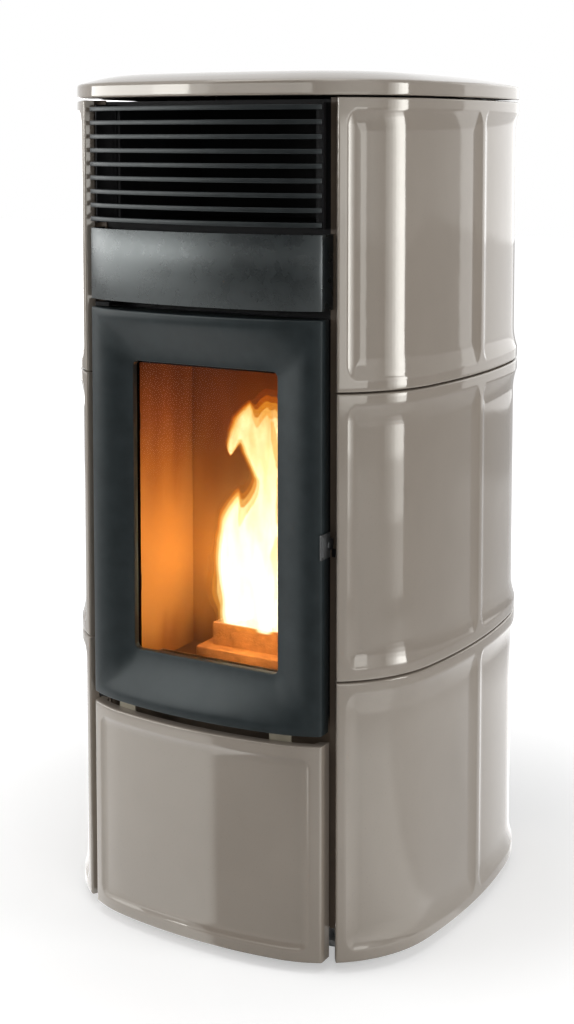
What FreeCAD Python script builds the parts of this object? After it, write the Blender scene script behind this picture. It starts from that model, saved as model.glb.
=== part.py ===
import FreeCAD, Part
import math
import os

# Pellet stove, millimetres. The front of the stove faces -Y and +Z is up.
# While pieces are made, Y is measured backward from the foremost point of the front.

# Plan outline, right half: arcs given by radius and by the angle of the outward normal where each ends.
# The angle, also called turn below, is measured in degrees from straight ahead.
FRONT_RADIUS = 708.0
FRONT_ANGLE = 9.9
CORNER_RADIUS = 179.0
CORNER_ANGLE = 80.1
SIDE_RADIUS = 848.0
SIDE_ANGLE = 97.7
REAR_RADIUS = 230.0
REAR_ANGLE = 135.0

# Shared sheet sizes and clearances
SHEET = 2.0
FRAME_PLATE = 4.0
SEAT_GAP = 0.3
RUNNING_GAP = 0.08
OVERRUN = 2.0

# Front pieces in width and height
FRONT_HALF_WIDTH = 176.0
FRONT_GAP = 16.5
TILE_LOW = 14.0
PANEL_HEIGHT = 283.4
DOOR_GAP_BELOW = 13.0
DOOR_GAP_ABOVE = 11.2
FASCIA_HEIGHT = 94.6
GRILLE_HEIGHT = 169.3

# Ceramic tiles and lower front panel
CERAMIC = 14.0
TILE_ROWS = 3
TILE_HEIGHT = 365.3
TILE_JOINT = 2.0
TILE_RIM_SIDE = 13.5
TILE_RIM_END = 16.5
TILE_RIB = 12.0
TILE_RECESS = 6.0
TILE_SLOPE_SIDE = 8.0
TILE_SLOPE_END = 16.0
PANEL_RIM = 17.0
PANEL_RECESS = 4.5
PANEL_SLOPE = 9.0

# Steel carriers behind the tiles and the hooks on them
CARRIER_GAP = 3.0
CARRIER_LOW = 48.0
FLANGE_REACH = 4.0
FLANGE_SETBACK = 7.0
REAR_FLANGE = 17.0
REAR_PROUD = 2.7
REAR_PAN_DEPTH = 18.0
HOOK_WIDTH = 20.0
HOOK_HEIGHT = 30.0
HOOK_INSET_SIDE = 60.0
HOOK_INSET_END = 60.0

# Base plate and feet
BASE_PLATE = 3.0
FOOT_SPREAD = 150.0
FOOT_FRONT = 120.0
FOOT_BACK = 470.0
FOOT_PAD_RADIUS = 20.0
FOOT_PAD_HEIGHT = 8.0
FOOT_STUD_RADIUS = 5.0
FOOT_COLLAR_RADIUS = 9.0
FOOT_COLLAR_HEIGHT = 4.0
FOOT_STUD_ABOVE = 11.0

# Top cover
COVER_JOINT = 2.6
COVER_RIM = 17.5
COVER_CROWN = 15.5
COVER_CROWN_WIDTH = 80.0
COVER_CROWN_STEPS = 4
COVER_HOLLOW_INSET = 30.0
COVER_HOLLOW_HEIGHT = 11.5
COVER_PAD_RADIUS = 7.0
COVER_PAD_TURNS = (55.0, 120.0)

# Hopper lid in the top cover
LID_HALF_WIDTH = 138.0
LID_FRONT = 309.0
LID_LENGTH = 154.0
LID_THICK = 9.5
LID_GAP = 2.0
LID_LEDGE = 12.0
LID_SEAL_WIDTH = 7.0
LID_SEAL_THICK = 0.7
LID_CORNER = 14.0
LID_HINGE_X = 90.0
LID_HINGE_WIDTH = 40.0
LID_KNUCKLE_RADIUS = 3.5
LID_KNUCKLE_GAP = 0.5
LID_PIN_RADIUS = 1.6
LID_HINGE_BACK = 5.0
LID_NOTCH_GAP = 1.0

# Door
DOOR_BACK = 53.0
DOOR_BACK_CHAMFER = 5.0
DOOR_RIM_SIDE = 9.0
DOOR_RIM_END = 10.0
WINDOW_HALF_WIDTH = 110.0
WINDOW_FRAME = 67.6
WINDOW_DEPTH = 38.0
WINDOW_CORNER = 10.0
WINDOW_LIP = 3.0
GLASS_LAP = 12.0
GLASS_THICK = 4.0
GLASS_SEAL = 1.5
GLASS_SEAL_WIDTH = 9.0
GLASS_SIDE_GAP = 1.0
CLIP_HEIGHT = 22.0
CLIP_SHEET = 2.0
CLIP_REACH = 14.0
CLIP_TOE = 7.0
CLIP_FROM_WINDOW_END = 86.6
DOOR_SEAL_WIDTH = 10.0
DOOR_SEAL_INSET = 7.0
DOOR_SEAL_CORNER = 15.0

# Door hinge brackets and pins
HINGE_INSET = 16.0
HINGE_DEPTH = 42.0
HINGE_PIN_RADIUS = 4.0
HINGE_PIN_REACH = 16.0
HINGE_PLATE = 5.0
HINGE_AIR = 1.2
HINGE_HALF_WIDTH = 11.0
HINGE_NOSE = 10.0

# Door latch on the right edge of the door
LATCH_ABOVE_DOOR_FOOT = 244.6
LATCH_FRONT = 24.0
LATCH_PIVOT_DEPTH = 44.0
LATCH_BACK = 56.0
LATCH_TALL = 34.0
LATCH_TAIL = 14.0
LATCH_SHOULDER = 50.0
LATCH_THICK = 5.0
LATCH_AIR = 0.4
LATCH_PIN_RADIUS = 3.0
LATCH_PIN_HEAD = 1.6
LATCH_SLOT_WIDTH = 4.0
LATCH_SLOT_LENGTH = 24.0
LATCH_SLOT_EDGE = 3.5
KEEPER_THICK = 3.0
KEEPER_WIDTH = 10.0
KEEPER_HEIGHT = 10.0
KEEPER_DROP = 19.0

# Front frame, a full-height plate behind the door, with its openings
FRAME_SIDE_LAP = 14.0
FRAME_TOP_GAP = 2.0
FRAME_BAR_LOW = 57.0
FRAME_BAR_UPPER = 47.0
FRAME_STILE = 36.0

# Fascia and grille
FASCIA_SHEET = 2.0
SLAT_COUNT = 9
SLAT_HEIGHT = 6.0
SLAT_DEPTH = 8.0
SLAT_MARGIN = 12.1
POST_WIDTH = 3.0
POST_INSET = 13.0
PLENUM_HALF_WIDTH = 165.0
PLENUM_DEPTH = 219.0
PLENUM_SHEET = 1.5
PLENUM_MARGIN = 4.0

# Brackets and pegs that hold the lower front panel
BRACKET_X = 118.5
BRACKET_WIDTH = 29.0
BRACKET_SHEET = 2.0
BRACKET_LOW = 60.0
BRACKET_ABOVE_PANEL = 11.5
PEG_RADIUS = 4.0
PEG_LOW = 80.0
PEG_BELOW_PANEL_TOP = 25.4
PEG_PAST_FRAME = 8.0

# Firebox, lining and baffle
FIREBOX_HALF_WIDTH = 154.0
FIREBOX_ABOVE_DOOR_FOOT = 19.6
FIREBOX_ABOVE_DOOR_TOP = 6.2
FIREBOX_DEPTH = 169.0
FIREBOX_WALL = 4.0
LINING_SIDE = 11.7
LINING_BACK = 14.0
LINING_BELOW_FIREBOX_TOP = 45.0
BAFFLE_THICK = 8.0
BAFFLE_DEPTH = 124.0
MOUTH_ABOVE_FIREBOX_FOOT = 15.0
GAS_SLOT_LENGTH = 240.0
GAS_SLOT_WIDTH = 24.0
GAS_SLOT_FROM_BACK = 12.0

# Heat exchanger above the firebox
EXCHANGER_HEIGHT = 100.0
EXCHANGER_WALL = 3.0
EXCHANGER_TUBES = 6
EXCHANGER_TUBE_RADIUS = 15.0
EXCHANGER_TUBE_WALL = 2.0
EXCHANGER_TUBE_PITCH = 36.0
EXCHANGER_TUBE_FIRST = -52.0

# Smoke duct and smoke fan
DUCT_LEFT = -150.0
DUCT_RIGHT = -80.0
DUCT_DEPTH = 40.0
DUCT_MARGIN = 13.0
SMOKE_FAN_FROM_BACK = 160.0
SMOKE_FAN_HEIGHT = 195.0
SMOKE_FAN_RADIUS = 88.0
SMOKE_FAN_LEFT = -60.0
SMOKE_FAN_WIDTH = 74.0
SMOKE_FAN_INLET = 45.0
SMOKE_FAN_MOUTH_LOW = 8.0
SMOKE_FAN_MOUTH_HEIGHT = 76.0
SMOKE_FAN_MOUTH_REACH = 88.0
SMOKE_FAN_FOOT = 40.0
SMOKE_WHEEL_RADIUS = 75.0
SMOKE_WHEEL_DISC = 2.0
SMOKE_WHEEL_BLADES = 10
SMOKE_WHEEL_BLADE_WIDTH = 34.0
SMOKE_WHEEL_BLADE = 2.0
SMOKE_WHEEL_GAP = 6.0
SMOKE_WHEEL_HUB = 14.0
SMOKE_SHAFT_RADIUS = 5.0
SMOKE_MOTOR_RADIUS = 40.0
SMOKE_MOTOR_LENGTH = 56.0
COLLECTOR_GAP = 8.0

# Flue spigot and combustion air intake at the back
SPIGOT_RADIUS = 40.0
SPIGOT_WALL = 2.0
SPIGOT_PROUD = 45.0
SPIGOT_PLATE = 3.0
SPIGOT_PLATE_LAP = 4.0
SPIGOT_COLLAR = 10.0
COLLAR_THICK = 3.0
PIPE_HOLE_GAP = 1.0
INTAKE_X = 100.0
INTAKE_HEIGHT = 120.0
INTAKE_RADIUS = 25.0
INTAKE_WALL = 2.0
INTAKE_PROUD = 40.0
INTAKE_COLLAR = 7.0
INTAKE_RISER_DEPTH = 204.0

# Brazier, its holder, the ash pan and the igniter
HOLDER_HALF_WIDTH = 78.0
HOLDER_FRONT = 130.0
HOLDER_HEIGHT = 27.0
HOLDER_WALL = 4.0
HOLDER_BACK_GAP = 2.7
BRAZIER_HALF_WIDTH = 60.0
BRAZIER_FRONT = 148.0
BRAZIER_BACK_GAP = 5.7
BRAZIER_HEIGHT = 31.0
BRAZIER_FOOT = 17.0
BRAZIER_WALL = 4.0
BRAZIER_STEP = 6.0
BRAZIER_HOLES = (6, 3)
BRAZIER_HOLE_RADIUS = 3.0
BRAZIER_FIT = 1.0
ASH_PAN_HALF_WIDTH = 130.0
ASH_PAN_FRONT = 80.0
ASH_PAN_GAP = 4.0
ASH_PAN_HEIGHT = 16.0
ASH_PAN_SHEET = 2.0
IGNITER_RADIUS = 5.0
IGNITER_BELOW_HOLDER_TOP = 9.0
IGNITER_TIP_GAP = 2.0
IGNITER_HEAD_RADIUS = 9.0
IGNITER_HEAD_LENGTH = 26.0
IGNITER_TAIL = 36.0
IGNITER_HOLE_GAP = 3.0

# Auger, its motor and the pellet chute
AUGER_FOOT_DEPTH = 440.0
AUGER_FOOT_HEIGHT = 470.0
AUGER_LEAN_ANGLE = 45.0
AUGER_LENGTH = 215.0
AUGER_TUBE_RADIUS = 32.0
AUGER_TUBE_WALL = 3.0
AUGER_CAP = 4.0
AUGER_FLANGE = 80.0
AUGER_FLANGE_THICK = 6.0
AUGER_SHAFT_RADIUS = 7.0
AUGER_FLIGHT_RADIUS = 26.0
AUGER_FLIGHT_THICK = 3.0
AUGER_PITCH = 40.0
AUGER_FLIGHT_START = 12.0
AUGER_FLIGHT_END = 23.0
GEARBOX_LENGTH = 40.0
GEARBOX_WIDTH = 76.0
MOTOR_RADIUS = 30.0
MOTOR_LENGTH = 50.0
CHUTE_RADIUS = 26.0
CHUTE_WALL = 2.0
CHUTE_ABOVE_FIREBOX_FOOT = 175.0
CHUTE_FROM_AUGER_TOP = 35.0

# Hopper
HOPPER_HALF_WIDTH = 146.0
HOPPER_FRONT = 296.0
HOPPER_BACK = 515.0
HOPPER_SHEET = 2.0
HOPPER_STRAIGHT_LOW = 760.0
NECK_HALF = 28.0
NECK_ALONG_AUGER = 50.0
NECK_ABOVE_AUGER_FOOT = 110.0
HOPPER_EAR_X = 100.0
HOPPER_EAR_WIDTH = 30.0
HOPPER_EAR_HEIGHT = 830.0
GRID_DROP = 40.0
GRID_BAR = 4.0
GRID_BARS = 5

# Room fan under the firebox
ROOM_FAN_HALF_WIDTH = 126.0
ROOM_FAN_DEPTH = 125.0
ROOM_FAN_HEIGHT = 150.0
ROOM_FAN_BODY = 90.0
ROOM_FAN_BELOW = 55.0
ROOM_FAN_ABOVE = 55.0
ROOM_FAN_BORE = 42.0
ROOM_FAN_PORT = 34.0
ROOM_FAN_PLATE = 2.0
ROOM_FAN_LEG_X = 100.0
ROOM_FAN_LEG = 4.0
ROOM_WHEEL_RADIUS = 36.0
ROOM_WHEEL_BLADES = 20
ROOM_WHEEL_BLADE_DEPTH = 8.0
ROOM_WHEEL_BLADE = 1.6
ROOM_WHEEL_DISC = 2.0
ROOM_WHEEL_END_GAP = 6.0
ROOM_SHAFT_RADIUS = 4.0
ROOM_MOTOR_RADIUS = 32.0
ROOM_MOTOR_LENGTH = 50.0

# Control board and its bracket
BOARD_BRACKET_X = 233.0
BOARD_FRONT = 310.0
BOARD_LENGTH = 130.0
BOARD_LOW = 150.0
BOARD_HEIGHT = 160.0
BOARD_THICK = 1.6
BOARD_STANDOFF = 5.4
BOARD_STANDOFF_RADIUS = 3.0
BOARD_CORNER = 8.0
BOARD_FOOT = 24.0

# Power inlet and rocker switch in the rear panel
INLET_X = 140.0
INLET_HEIGHT = 200.0
INLET_WIDTH = 52.0
INLET_TALL = 27.0
INLET_DEEP = 28.0
INLET_FLANGE = 3.0
INLET_FLANGE_THICK = 2.0
SOCKET_OFFSET = 11.0
SOCKET_WIDTH = 25.0
SOCKET_TALL = 18.0
SOCKET_DEEP = 18.0
ROCKER_OFFSET = 16.0
ROCKER_WIDTH = 13.0
ROCKER_TALL = 18.0
ROCKER_DEEP = 8.0
ROCKER_PROUD = 3.0
ROCKER_TILT_ANGLE = 8.0
ROCKER_AIR = 0.5
ROCKER_SWING_AIR = 2.0
ROCKER_PIN_RADIUS = 1.5
ROCKER_PIN_LENGTH = 1.5
ROCKER_SINK = 1.0

# Vent slots in the rear panel
VENT_ROWS = 10
VENT_LOW = 640.0
VENT_PITCH = 22.0
VENT_HALF_WIDTH = 110.0
VENT_HEIGHT = 6.0

V = FreeCAD.Vector
ARCS = (
    (FRONT_RADIUS, 0.0, FRONT_ANGLE),
    (CORNER_RADIUS, FRONT_ANGLE, CORNER_ANGLE),
    (SIDE_RADIUS, CORNER_ANGLE, SIDE_ANGLE),
    (REAR_RADIUS, SIDE_ANGLE, REAR_ANGLE),
)


# Plan outline helpers

def plan(turn, inset=0.0, height=0.0):
    """Point of the outline where its outward normal has this turn, moved inward by the inset."""
    side = 1.0 if turn >= 0 else -1.0
    angle = math.radians(abs(turn))
    x = 0.0
    y = 0.0
    for radius, start, end in ARCS:
        a = math.radians(start)
        b = math.radians(min(max(abs(turn), start), end))
        x += radius * (math.sin(b) - math.sin(a))
        y += radius * (math.cos(a) - math.cos(b))
    return V(side * (x - inset * math.sin(angle)), y + inset * math.cos(angle), height)


def turn_after(turn, length):
    """Turn reached by walking this length backward along the right half of the outline."""
    for radius, start, end in ARCS:
        if turn < end:
            room = radius * math.radians(end - turn)
            if length <= room:
                return turn + math.degrees(length / radius)
            length -= room
            turn = end
    return turn + math.degrees(length / REAR_RADIUS)


def walk(turn_from, turn_to):
    """Length of the outline between two turns on the right half."""
    total = 0.0
    for radius, start, end in ARCS:
        a = min(max(turn_from, start), end)
        b = min(max(turn_to, start), end)
        total += radius * math.radians(b - a)
    return total


def solve(test, low, high):
    """Turn between low and high where a rising test passes zero."""
    for _ in range(60):
        middle = (low + high) / 2
        if test(middle) < 0:
            low = middle
        else:
            high = middle
    return (low + high) / 2


def turn_at_x(x, inset=0.0):
    return solve(lambda turn: plan(turn, inset).x - x, 0.0, 90.0)


def turn_at_depth(y, inset=0.0):
    return solve(lambda turn: plan(turn, inset).y - y, 0.0, REAR_ANGLE)


def chain(turn_from, turn_to, inset, height=0.0):
    """Arcs of the outline, moved inward, between two turns."""
    breaks = [turn_from]
    for limit in (-SIDE_ANGLE, -CORNER_ANGLE, -FRONT_ANGLE, FRONT_ANGLE, CORNER_ANGLE, SIDE_ANGLE):
        if turn_from < limit < turn_to:
            breaks.append(limit)
    breaks.append(turn_to)
    edges = []
    for a, b in zip(breaks, breaks[1:]):
        ends = [plan(turn, inset, height) for turn in (a, (a + b) / 2, b)]
        edges.append(Part.Arc(*ends).toShape())
    return edges


def line(a, b):
    return Part.LineSegment(a, b).toShape()


def closed_face(edges):
    return Part.Face(Part.Wire(Part.__sortEdges__(edges)))


def band_wire(start, end, outer, inner, height, start_lean=0.0, end_lean=0.0):
    """Closed wire between two inset lines; the lean moves the inner line's ends, in degrees of turn."""
    inner_start = start + start_lean
    inner_end = end - end_lean
    edges = chain(start, end, outer, height)
    edges.append(line(plan(end, outer, height), plan(inner_end, inner, height)))
    edges += chain(inner_start, inner_end, inner, height)
    edges.append(line(plan(start, outer, height), plan(inner_start, inner, height)))
    return Part.Wire(Part.__sortEdges__(edges))


def band(start, end, outer, inner, low, high):
    """Solid strip that follows the outline, from its outer inset to its inner inset."""
    return Part.Face(band_wire(start, end, outer, inner, low)).extrude(V(0, 0, high - low))


def outline_wire(inset, height):
    """Whole outline at an inset, closed by a straight back."""
    rear = plan(REAR_ANGLE).y - inset
    end = turn_at_depth(rear, inset)
    edges = chain(-end, end, inset, height)
    edges.append(line(plan(end, inset, height), plan(-end, inset, height)))
    return Part.Wire(Part.__sortEdges__(edges))


# Solid helpers

def box(x0, x1, y0, y1, z0, z1):
    return Part.makeBox(x1 - x0, y1 - y0, z1 - z0, V(x0, y0, z0))


def rod(radius, start, end):
    return Part.makeCylinder(radius, (end - start).Length, start, end - start)


def pipe(radius, wall, start, end):
    return rod(radius, start, end).cut(rod(radius - wall, start, end))


def round_box(half, low, high, y0, y1, corner):
    """Block along Y whose upright section is a rectangle with rounded corners."""
    block = box(-half, half, y0, y1, low, high)
    along = [e for e in block.Edges if abs(e.tangentAt(e.FirstParameter).y) > 0.99]
    return block.makeFillet(corner, along)


def round_slab(x0, x1, y0, y1, z0, z1, corner):
    """Upright block with rounded plan corners."""
    block = box(x0, x1, y0, y1, z0, z1)
    upright = [e for e in block.Edges if abs(e.tangentAt(e.FirstParameter).z) > 0.99]
    return block.makeFillet(corner, upright)


def hollow(shape_box, wall, open_sides):
    """Inside of a box: bounds drawn in by the wall, run past the open sides."""
    x0, x1, y0, y1, z0, z1 = shape_box
    past = {side: -OVERRUN for side in open_sides}
    return box(
        x0 + past.get("left", wall), x1 - past.get("right", wall),
        y0 + past.get("front", wall), y1 - past.get("back", wall),
        z0 + past.get("bottom", wall), z1 - past.get("top", wall),
    )


def mirrored(shape):
    return shape.mirror(V(0, 0, 0), V(1, 0, 0))


def both_sides(shape):
    return [shape, mirrored(shape)]


def fused(shapes):
    result = shapes[0].multiFuse(shapes[1:])
    return result.removeSplitter()


def export(name, shape):
    """Move the piece from the front-based depth to the part's own origin and write it."""
    piece = shape.copy()
    piece.translate(V(0, -PART_DEPTH / 2, 0))
    piece.exportStep("parts/" + name + ".step")


# Levels and places worked out from the sizes above

tile_top = TILE_LOW + TILE_ROWS * TILE_HEIGHT + (TILE_ROWS - 1) * TILE_JOINT
panel_top = TILE_LOW + PANEL_HEIGHT
peg_high = panel_top - PEG_BELOW_PANEL_TOP
fascia_high = tile_top - GRILLE_HEIGHT
fascia_low = fascia_high - FASCIA_HEIGHT
door_low = panel_top + DOOR_GAP_BELOW
door_high = fascia_low - DOOR_GAP_ABOVE
latch_z = door_low + LATCH_ABOVE_DOOR_FOOT
window_low = door_low + WINDOW_FRAME
window_high = door_high - WINDOW_FRAME
cover_low = tile_top + COVER_JOINT
cover_shoulder = cover_low + COVER_RIM
cover_top = cover_shoulder + COVER_CROWN
base_top = CARRIER_LOW + BASE_PLATE

front_edge_turn = turn_at_x(FRONT_HALF_WIDTH)
tile_front_turn = turn_at_x(FRONT_HALF_WIDTH + FRONT_GAP)
tile_length = walk(tile_front_turn, REAR_ANGLE)
body_depth = plan(REAR_ANGLE).y + REAR_PROUD
PART_DEPTH = body_depth + SPIGOT_PROUD

carrier_outer = CERAMIC + CARRIER_GAP
carrier_inner = carrier_outer + SHEET
flange_front = DOOR_BACK + FLANGE_SETBACK
frame_front = flange_front + SHEET
frame_back = frame_front + FRAME_PLATE
flange_inner = FRONT_HALF_WIDTH - FLANGE_REACH
frame_half = flange_inner + FRAME_SIDE_LAP
rear_flange_back = body_depth - REAR_PAN_DEPTH
rear_flange_front = rear_flange_back - SHEET
rear_inner = body_depth - SHEET

firebox_back = frame_back + FIREBOX_DEPTH
firebox_inner_half = FIREBOX_HALF_WIDTH - FIREBOX_WALL
firebox_inner_back = firebox_back - FIREBOX_WALL
firebox_low = door_low + FIREBOX_ABOVE_DOOR_FOOT
firebox_high = door_high + FIREBOX_ABOVE_DOOR_TOP
firebox_floor = firebox_low + FIREBOX_WALL
fire_mouth_low = firebox_low + MOUTH_ABOVE_FIREBOX_FOOT
lining_top = firebox_high - LINING_BELOW_FIREBOX_TOP
chute_mouth_z = firebox_low + CHUTE_ABOVE_FIREBOX_FOOT
lining_inner_half = firebox_inner_half - SEAT_GAP - LINING_SIDE
lining_front = firebox_inner_back - SEAT_GAP - LINING_BACK
exchanger_top = firebox_high + EXCHANGER_HEIGHT
holder_back = lining_front - HOLDER_BACK_GAP
holder_top = firebox_floor + HOLDER_HEIGHT
brazier_back = lining_front - BRAZIER_BACK_GAP
brazier_top = holder_top + BRAZIER_HEIGHT
igniter_z = holder_top - IGNITER_BELOW_HOLDER_TOP

hinge_x = -(FRONT_HALF_WIDTH - HINGE_INSET)
smoke_fan_right = SMOKE_FAN_LEFT + SMOKE_FAN_WIDTH
mouth_low = SMOKE_FAN_HEIGHT + SMOKE_FAN_MOUTH_LOW
mouth_high = mouth_low + SMOKE_FAN_MOUTH_HEIGHT
smoke_fan_y = body_depth - SMOKE_FAN_FROM_BACK
mouth_back = smoke_fan_y + SMOKE_FAN_MOUTH_REACH
spigot_x = (SMOKE_FAN_LEFT + smoke_fan_right) / 2
spigot_z = (mouth_low + mouth_high) / 2
cover_hollow_top = cover_low + COVER_HOLLOW_HEIGHT
hopper_top = cover_hollow_top - SEAT_GAP
neck_top = AUGER_FOOT_HEIGHT + NECK_ABOVE_AUGER_FOOT
lid_back = LID_FRONT + LID_LENGTH
lid_low = cover_top - LID_THICK
ledge_top = lid_low - LID_SEAL_THICK - SEAT_GAP
lid_axis_y = lid_back + LID_HINGE_BACK
lid_axis_z = cover_top - LID_KNUCKLE_RADIUS


# Ceramic pieces

def field_pocket(start_turn, from_length, to_length, low, high, recess, side_slope, end_slope):
    """Cutter for one recessed field with sloping borders, measured along the outline."""
    sections = []
    levels = (
        (low - OVERRUN, -recess * OVERRUN / end_slope),
        (low + end_slope, recess),
        (high - end_slope, recess),
        (high + OVERRUN, -recess * OVERRUN / end_slope),
    )
    outside = -(OVERRUN + recess)
    for height, inset in levels:
        outer_shift = side_slope * outside / recess
        inner_shift = side_slope * inset / recess
        start = field_turn(start_turn, from_length + outer_shift)
        end = field_turn(start_turn, to_length - outer_shift)
        inner_start = field_turn(start_turn, from_length + inner_shift)
        inner_end = field_turn(start_turn, to_length - inner_shift)
        lean = (inner_start - start, end - inner_end)
        sections.append(band_wire(start, end, outside, inset, height, *lean))
    return Part.makeLoft(sections, True, True)


def field_turn(start_turn, length):
    """Turn at a length from the start; lengths from the front's middle may be negative."""
    if start_turn == 0.0 and length < 0.0:
        return -turn_after(0.0, -length)
    return turn_after(start_turn, length)


def side_tile(row):
    low = TILE_LOW + row * (TILE_HEIGHT + TILE_JOINT)
    high = low + TILE_HEIGHT
    tile = band(tile_front_turn, REAR_ANGLE, 0.0, CERAMIC, low, high)
    middle = tile_length / 2
    spans = (
        (TILE_RIM_SIDE, middle - TILE_RIB / 2),
        (middle + TILE_RIB / 2, tile_length - TILE_RIM_SIDE),
    )
    for start, end in spans:
        tile = tile.cut(field_pocket(
            tile_front_turn, start, end, low + TILE_RIM_END, high - TILE_RIM_END,
            TILE_RECESS, TILE_SLOPE_SIDE, TILE_SLOPE_END,
        ))
    return tile


def lower_front_panel():
    panel = band(-front_edge_turn, front_edge_turn, 0.0, CERAMIC, TILE_LOW, panel_top)
    reach = walk(0.0, front_edge_turn) - PANEL_RIM
    return panel.cut(field_pocket(
        0.0, -reach, reach, TILE_LOW + PANEL_RIM, panel_top - PANEL_RIM,
        PANEL_RECESS, PANEL_SLOPE, PANEL_SLOPE,
    ))


def panel_brackets():
    """Steel strips on the panel's back, each with two pegs that enter the front frame."""
    outer = CERAMIC + SEAT_GAP
    inner = outer + BRACKET_SHEET
    start = turn_at_x(BRACKET_X - BRACKET_WIDTH / 2, inner)
    end = turn_at_x(BRACKET_X + BRACKET_WIDTH / 2, inner)
    strip = band(start, end, outer, inner, BRACKET_LOW, panel_top + BRACKET_ABOVE_PANEL)
    root = plan(turn_at_x(BRACKET_X, outer), outer + BRACKET_SHEET / 2).y
    pegs = []
    for height in (PEG_LOW, peg_high):
        start_point = V(BRACKET_X, root, height)
        pegs.append(rod(PEG_RADIUS, start_point, V(BRACKET_X, frame_back + PEG_PAST_FRAME, height)))
    return Part.makeCompound(both_sides(fused([strip] + pegs)))


# Carriers, base and back

def side_carrier():
    """Sheet behind the tiles, with a flange turned in at the front and one at the back."""
    middle = (carrier_outer + carrier_inner) / 2
    start = turn_at_depth(flange_front + SHEET / 2, middle)
    end = turn_at_depth(rear_flange_front + SHEET / 2, middle)
    sheet = band(start, end, carrier_outer, carrier_inner, CARRIER_LOW, tile_top)
    front_x = plan(start, middle).x
    rear_x = plan(end, middle).x
    front = box(flange_inner, front_x, flange_front, frame_front, CARRIER_LOW, tile_top)
    rear = box(rear_x - REAR_FLANGE, rear_x, rear_flange_front, rear_flange_back, CARRIER_LOW, tile_top)
    return fused([sheet, front, rear])


def tile_hooks():
    hooks = []
    for row in range(TILE_ROWS):
        low = TILE_LOW + row * (TILE_HEIGHT + TILE_JOINT)
        for along in (HOOK_INSET_SIDE, tile_length - HOOK_INSET_SIDE):
            start = turn_after(tile_front_turn, along - HOOK_WIDTH / 2)
            end = turn_after(tile_front_turn, along + HOOK_WIDTH / 2)
            for bottom in (low + HOOK_INSET_END, low + TILE_HEIGHT - HOOK_INSET_END - HOOK_HEIGHT):
                hook = band(
                    start, end, CERAMIC + SEAT_GAP, carrier_outer - SEAT_GAP, bottom, bottom + HOOK_HEIGHT
                )
                hooks += both_sides(hook)
    return Part.makeCompound(hooks)


def foot_points():
    return [(x, y) for x in (-FOOT_SPREAD, FOOT_SPREAD) for y in (FOOT_FRONT, FOOT_BACK)]


def base_plate():
    edge = carrier_inner + SEAT_GAP
    front = turn_at_depth(frame_back, edge)
    rear = turn_at_depth(rear_flange_front - SEAT_GAP, edge)
    edges = chain(front, rear, edge, CARRIER_LOW) + chain(-rear, -front, edge, CARRIER_LOW)
    for turn in (front, rear):
        edges.append(line(plan(turn, edge, CARRIER_LOW), plan(-turn, edge, CARRIER_LOW)))
    plate = closed_face(edges).extrude(V(0, 0, BASE_PLATE))
    for x, y in foot_points():
        plate = plate.cut(rod(FOOT_STUD_RADIUS + SEAT_GAP, V(x, y, 0), V(x, y, base_top + OVERRUN)))
    return plate


def levelling_feet():
    feet = []
    for x, y in foot_points():
        pad = rod(FOOT_PAD_RADIUS, V(x, y, 0), V(x, y, FOOT_PAD_HEIGHT))
        stud = rod(FOOT_STUD_RADIUS, V(x, y, 0), V(x, y, base_top + FOOT_STUD_ABOVE))
        collar = rod(FOOT_COLLAR_RADIUS, V(x, y, CARRIER_LOW - FOOT_COLLAR_HEIGHT), V(x, y, CARRIER_LOW))
        feet.append(fused([pad, stud, collar]))
    return Part.makeCompound(feet)


def rear_panel():
    half = plan(REAR_ANGLE, CERAMIC).x - SHEET
    bounds = (-half, half, rear_flange_back, body_depth, CARRIER_LOW, tile_top - FRAME_TOP_GAP)
    panel = box(*bounds).cut(hollow(bounds, SHEET, ("front",)))
    through = (rear_inner - OVERRUN, body_depth + OVERRUN)
    spigot = SPIGOT_RADIUS + PIPE_HOLE_GAP
    panel = panel.cut(rod(spigot, V(spigot_x, through[0], spigot_z), V(spigot_x, through[1], spigot_z)))
    intake = INTAKE_RADIUS + PIPE_HOLE_GAP
    panel = panel.cut(rod(
        intake, V(INTAKE_X, through[0], INTAKE_HEIGHT), V(INTAKE_X, through[1], INTAKE_HEIGHT)
    ))
    half_wide = INLET_WIDTH / 2 + SEAT_GAP
    half_tall = INLET_TALL / 2 + SEAT_GAP
    panel = panel.cut(box(
        INLET_X - half_wide, INLET_X + half_wide, *through, INLET_HEIGHT - half_tall, INLET_HEIGHT + half_tall
    ))
    for row in range(VENT_ROWS):
        low = VENT_LOW + row * VENT_PITCH
        panel = panel.cut(box(-VENT_HALF_WIDTH, VENT_HALF_WIDTH, *through, low, low + VENT_HEIGHT))
    return panel


# Top cover and hopper lid

def lid_hinge_spans():
    """X spans of each lid hinge: the middle knuckle belongs to the cover, the outer two to the lid."""
    third = LID_HINGE_WIDTH / 3
    spans = []
    for centre in (-LID_HINGE_X, LID_HINGE_X):
        left = centre - LID_HINGE_WIDTH / 2
        spans.append([(left + i * third, left + (i + 1) * third) for i in range(3)])
    return spans


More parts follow.
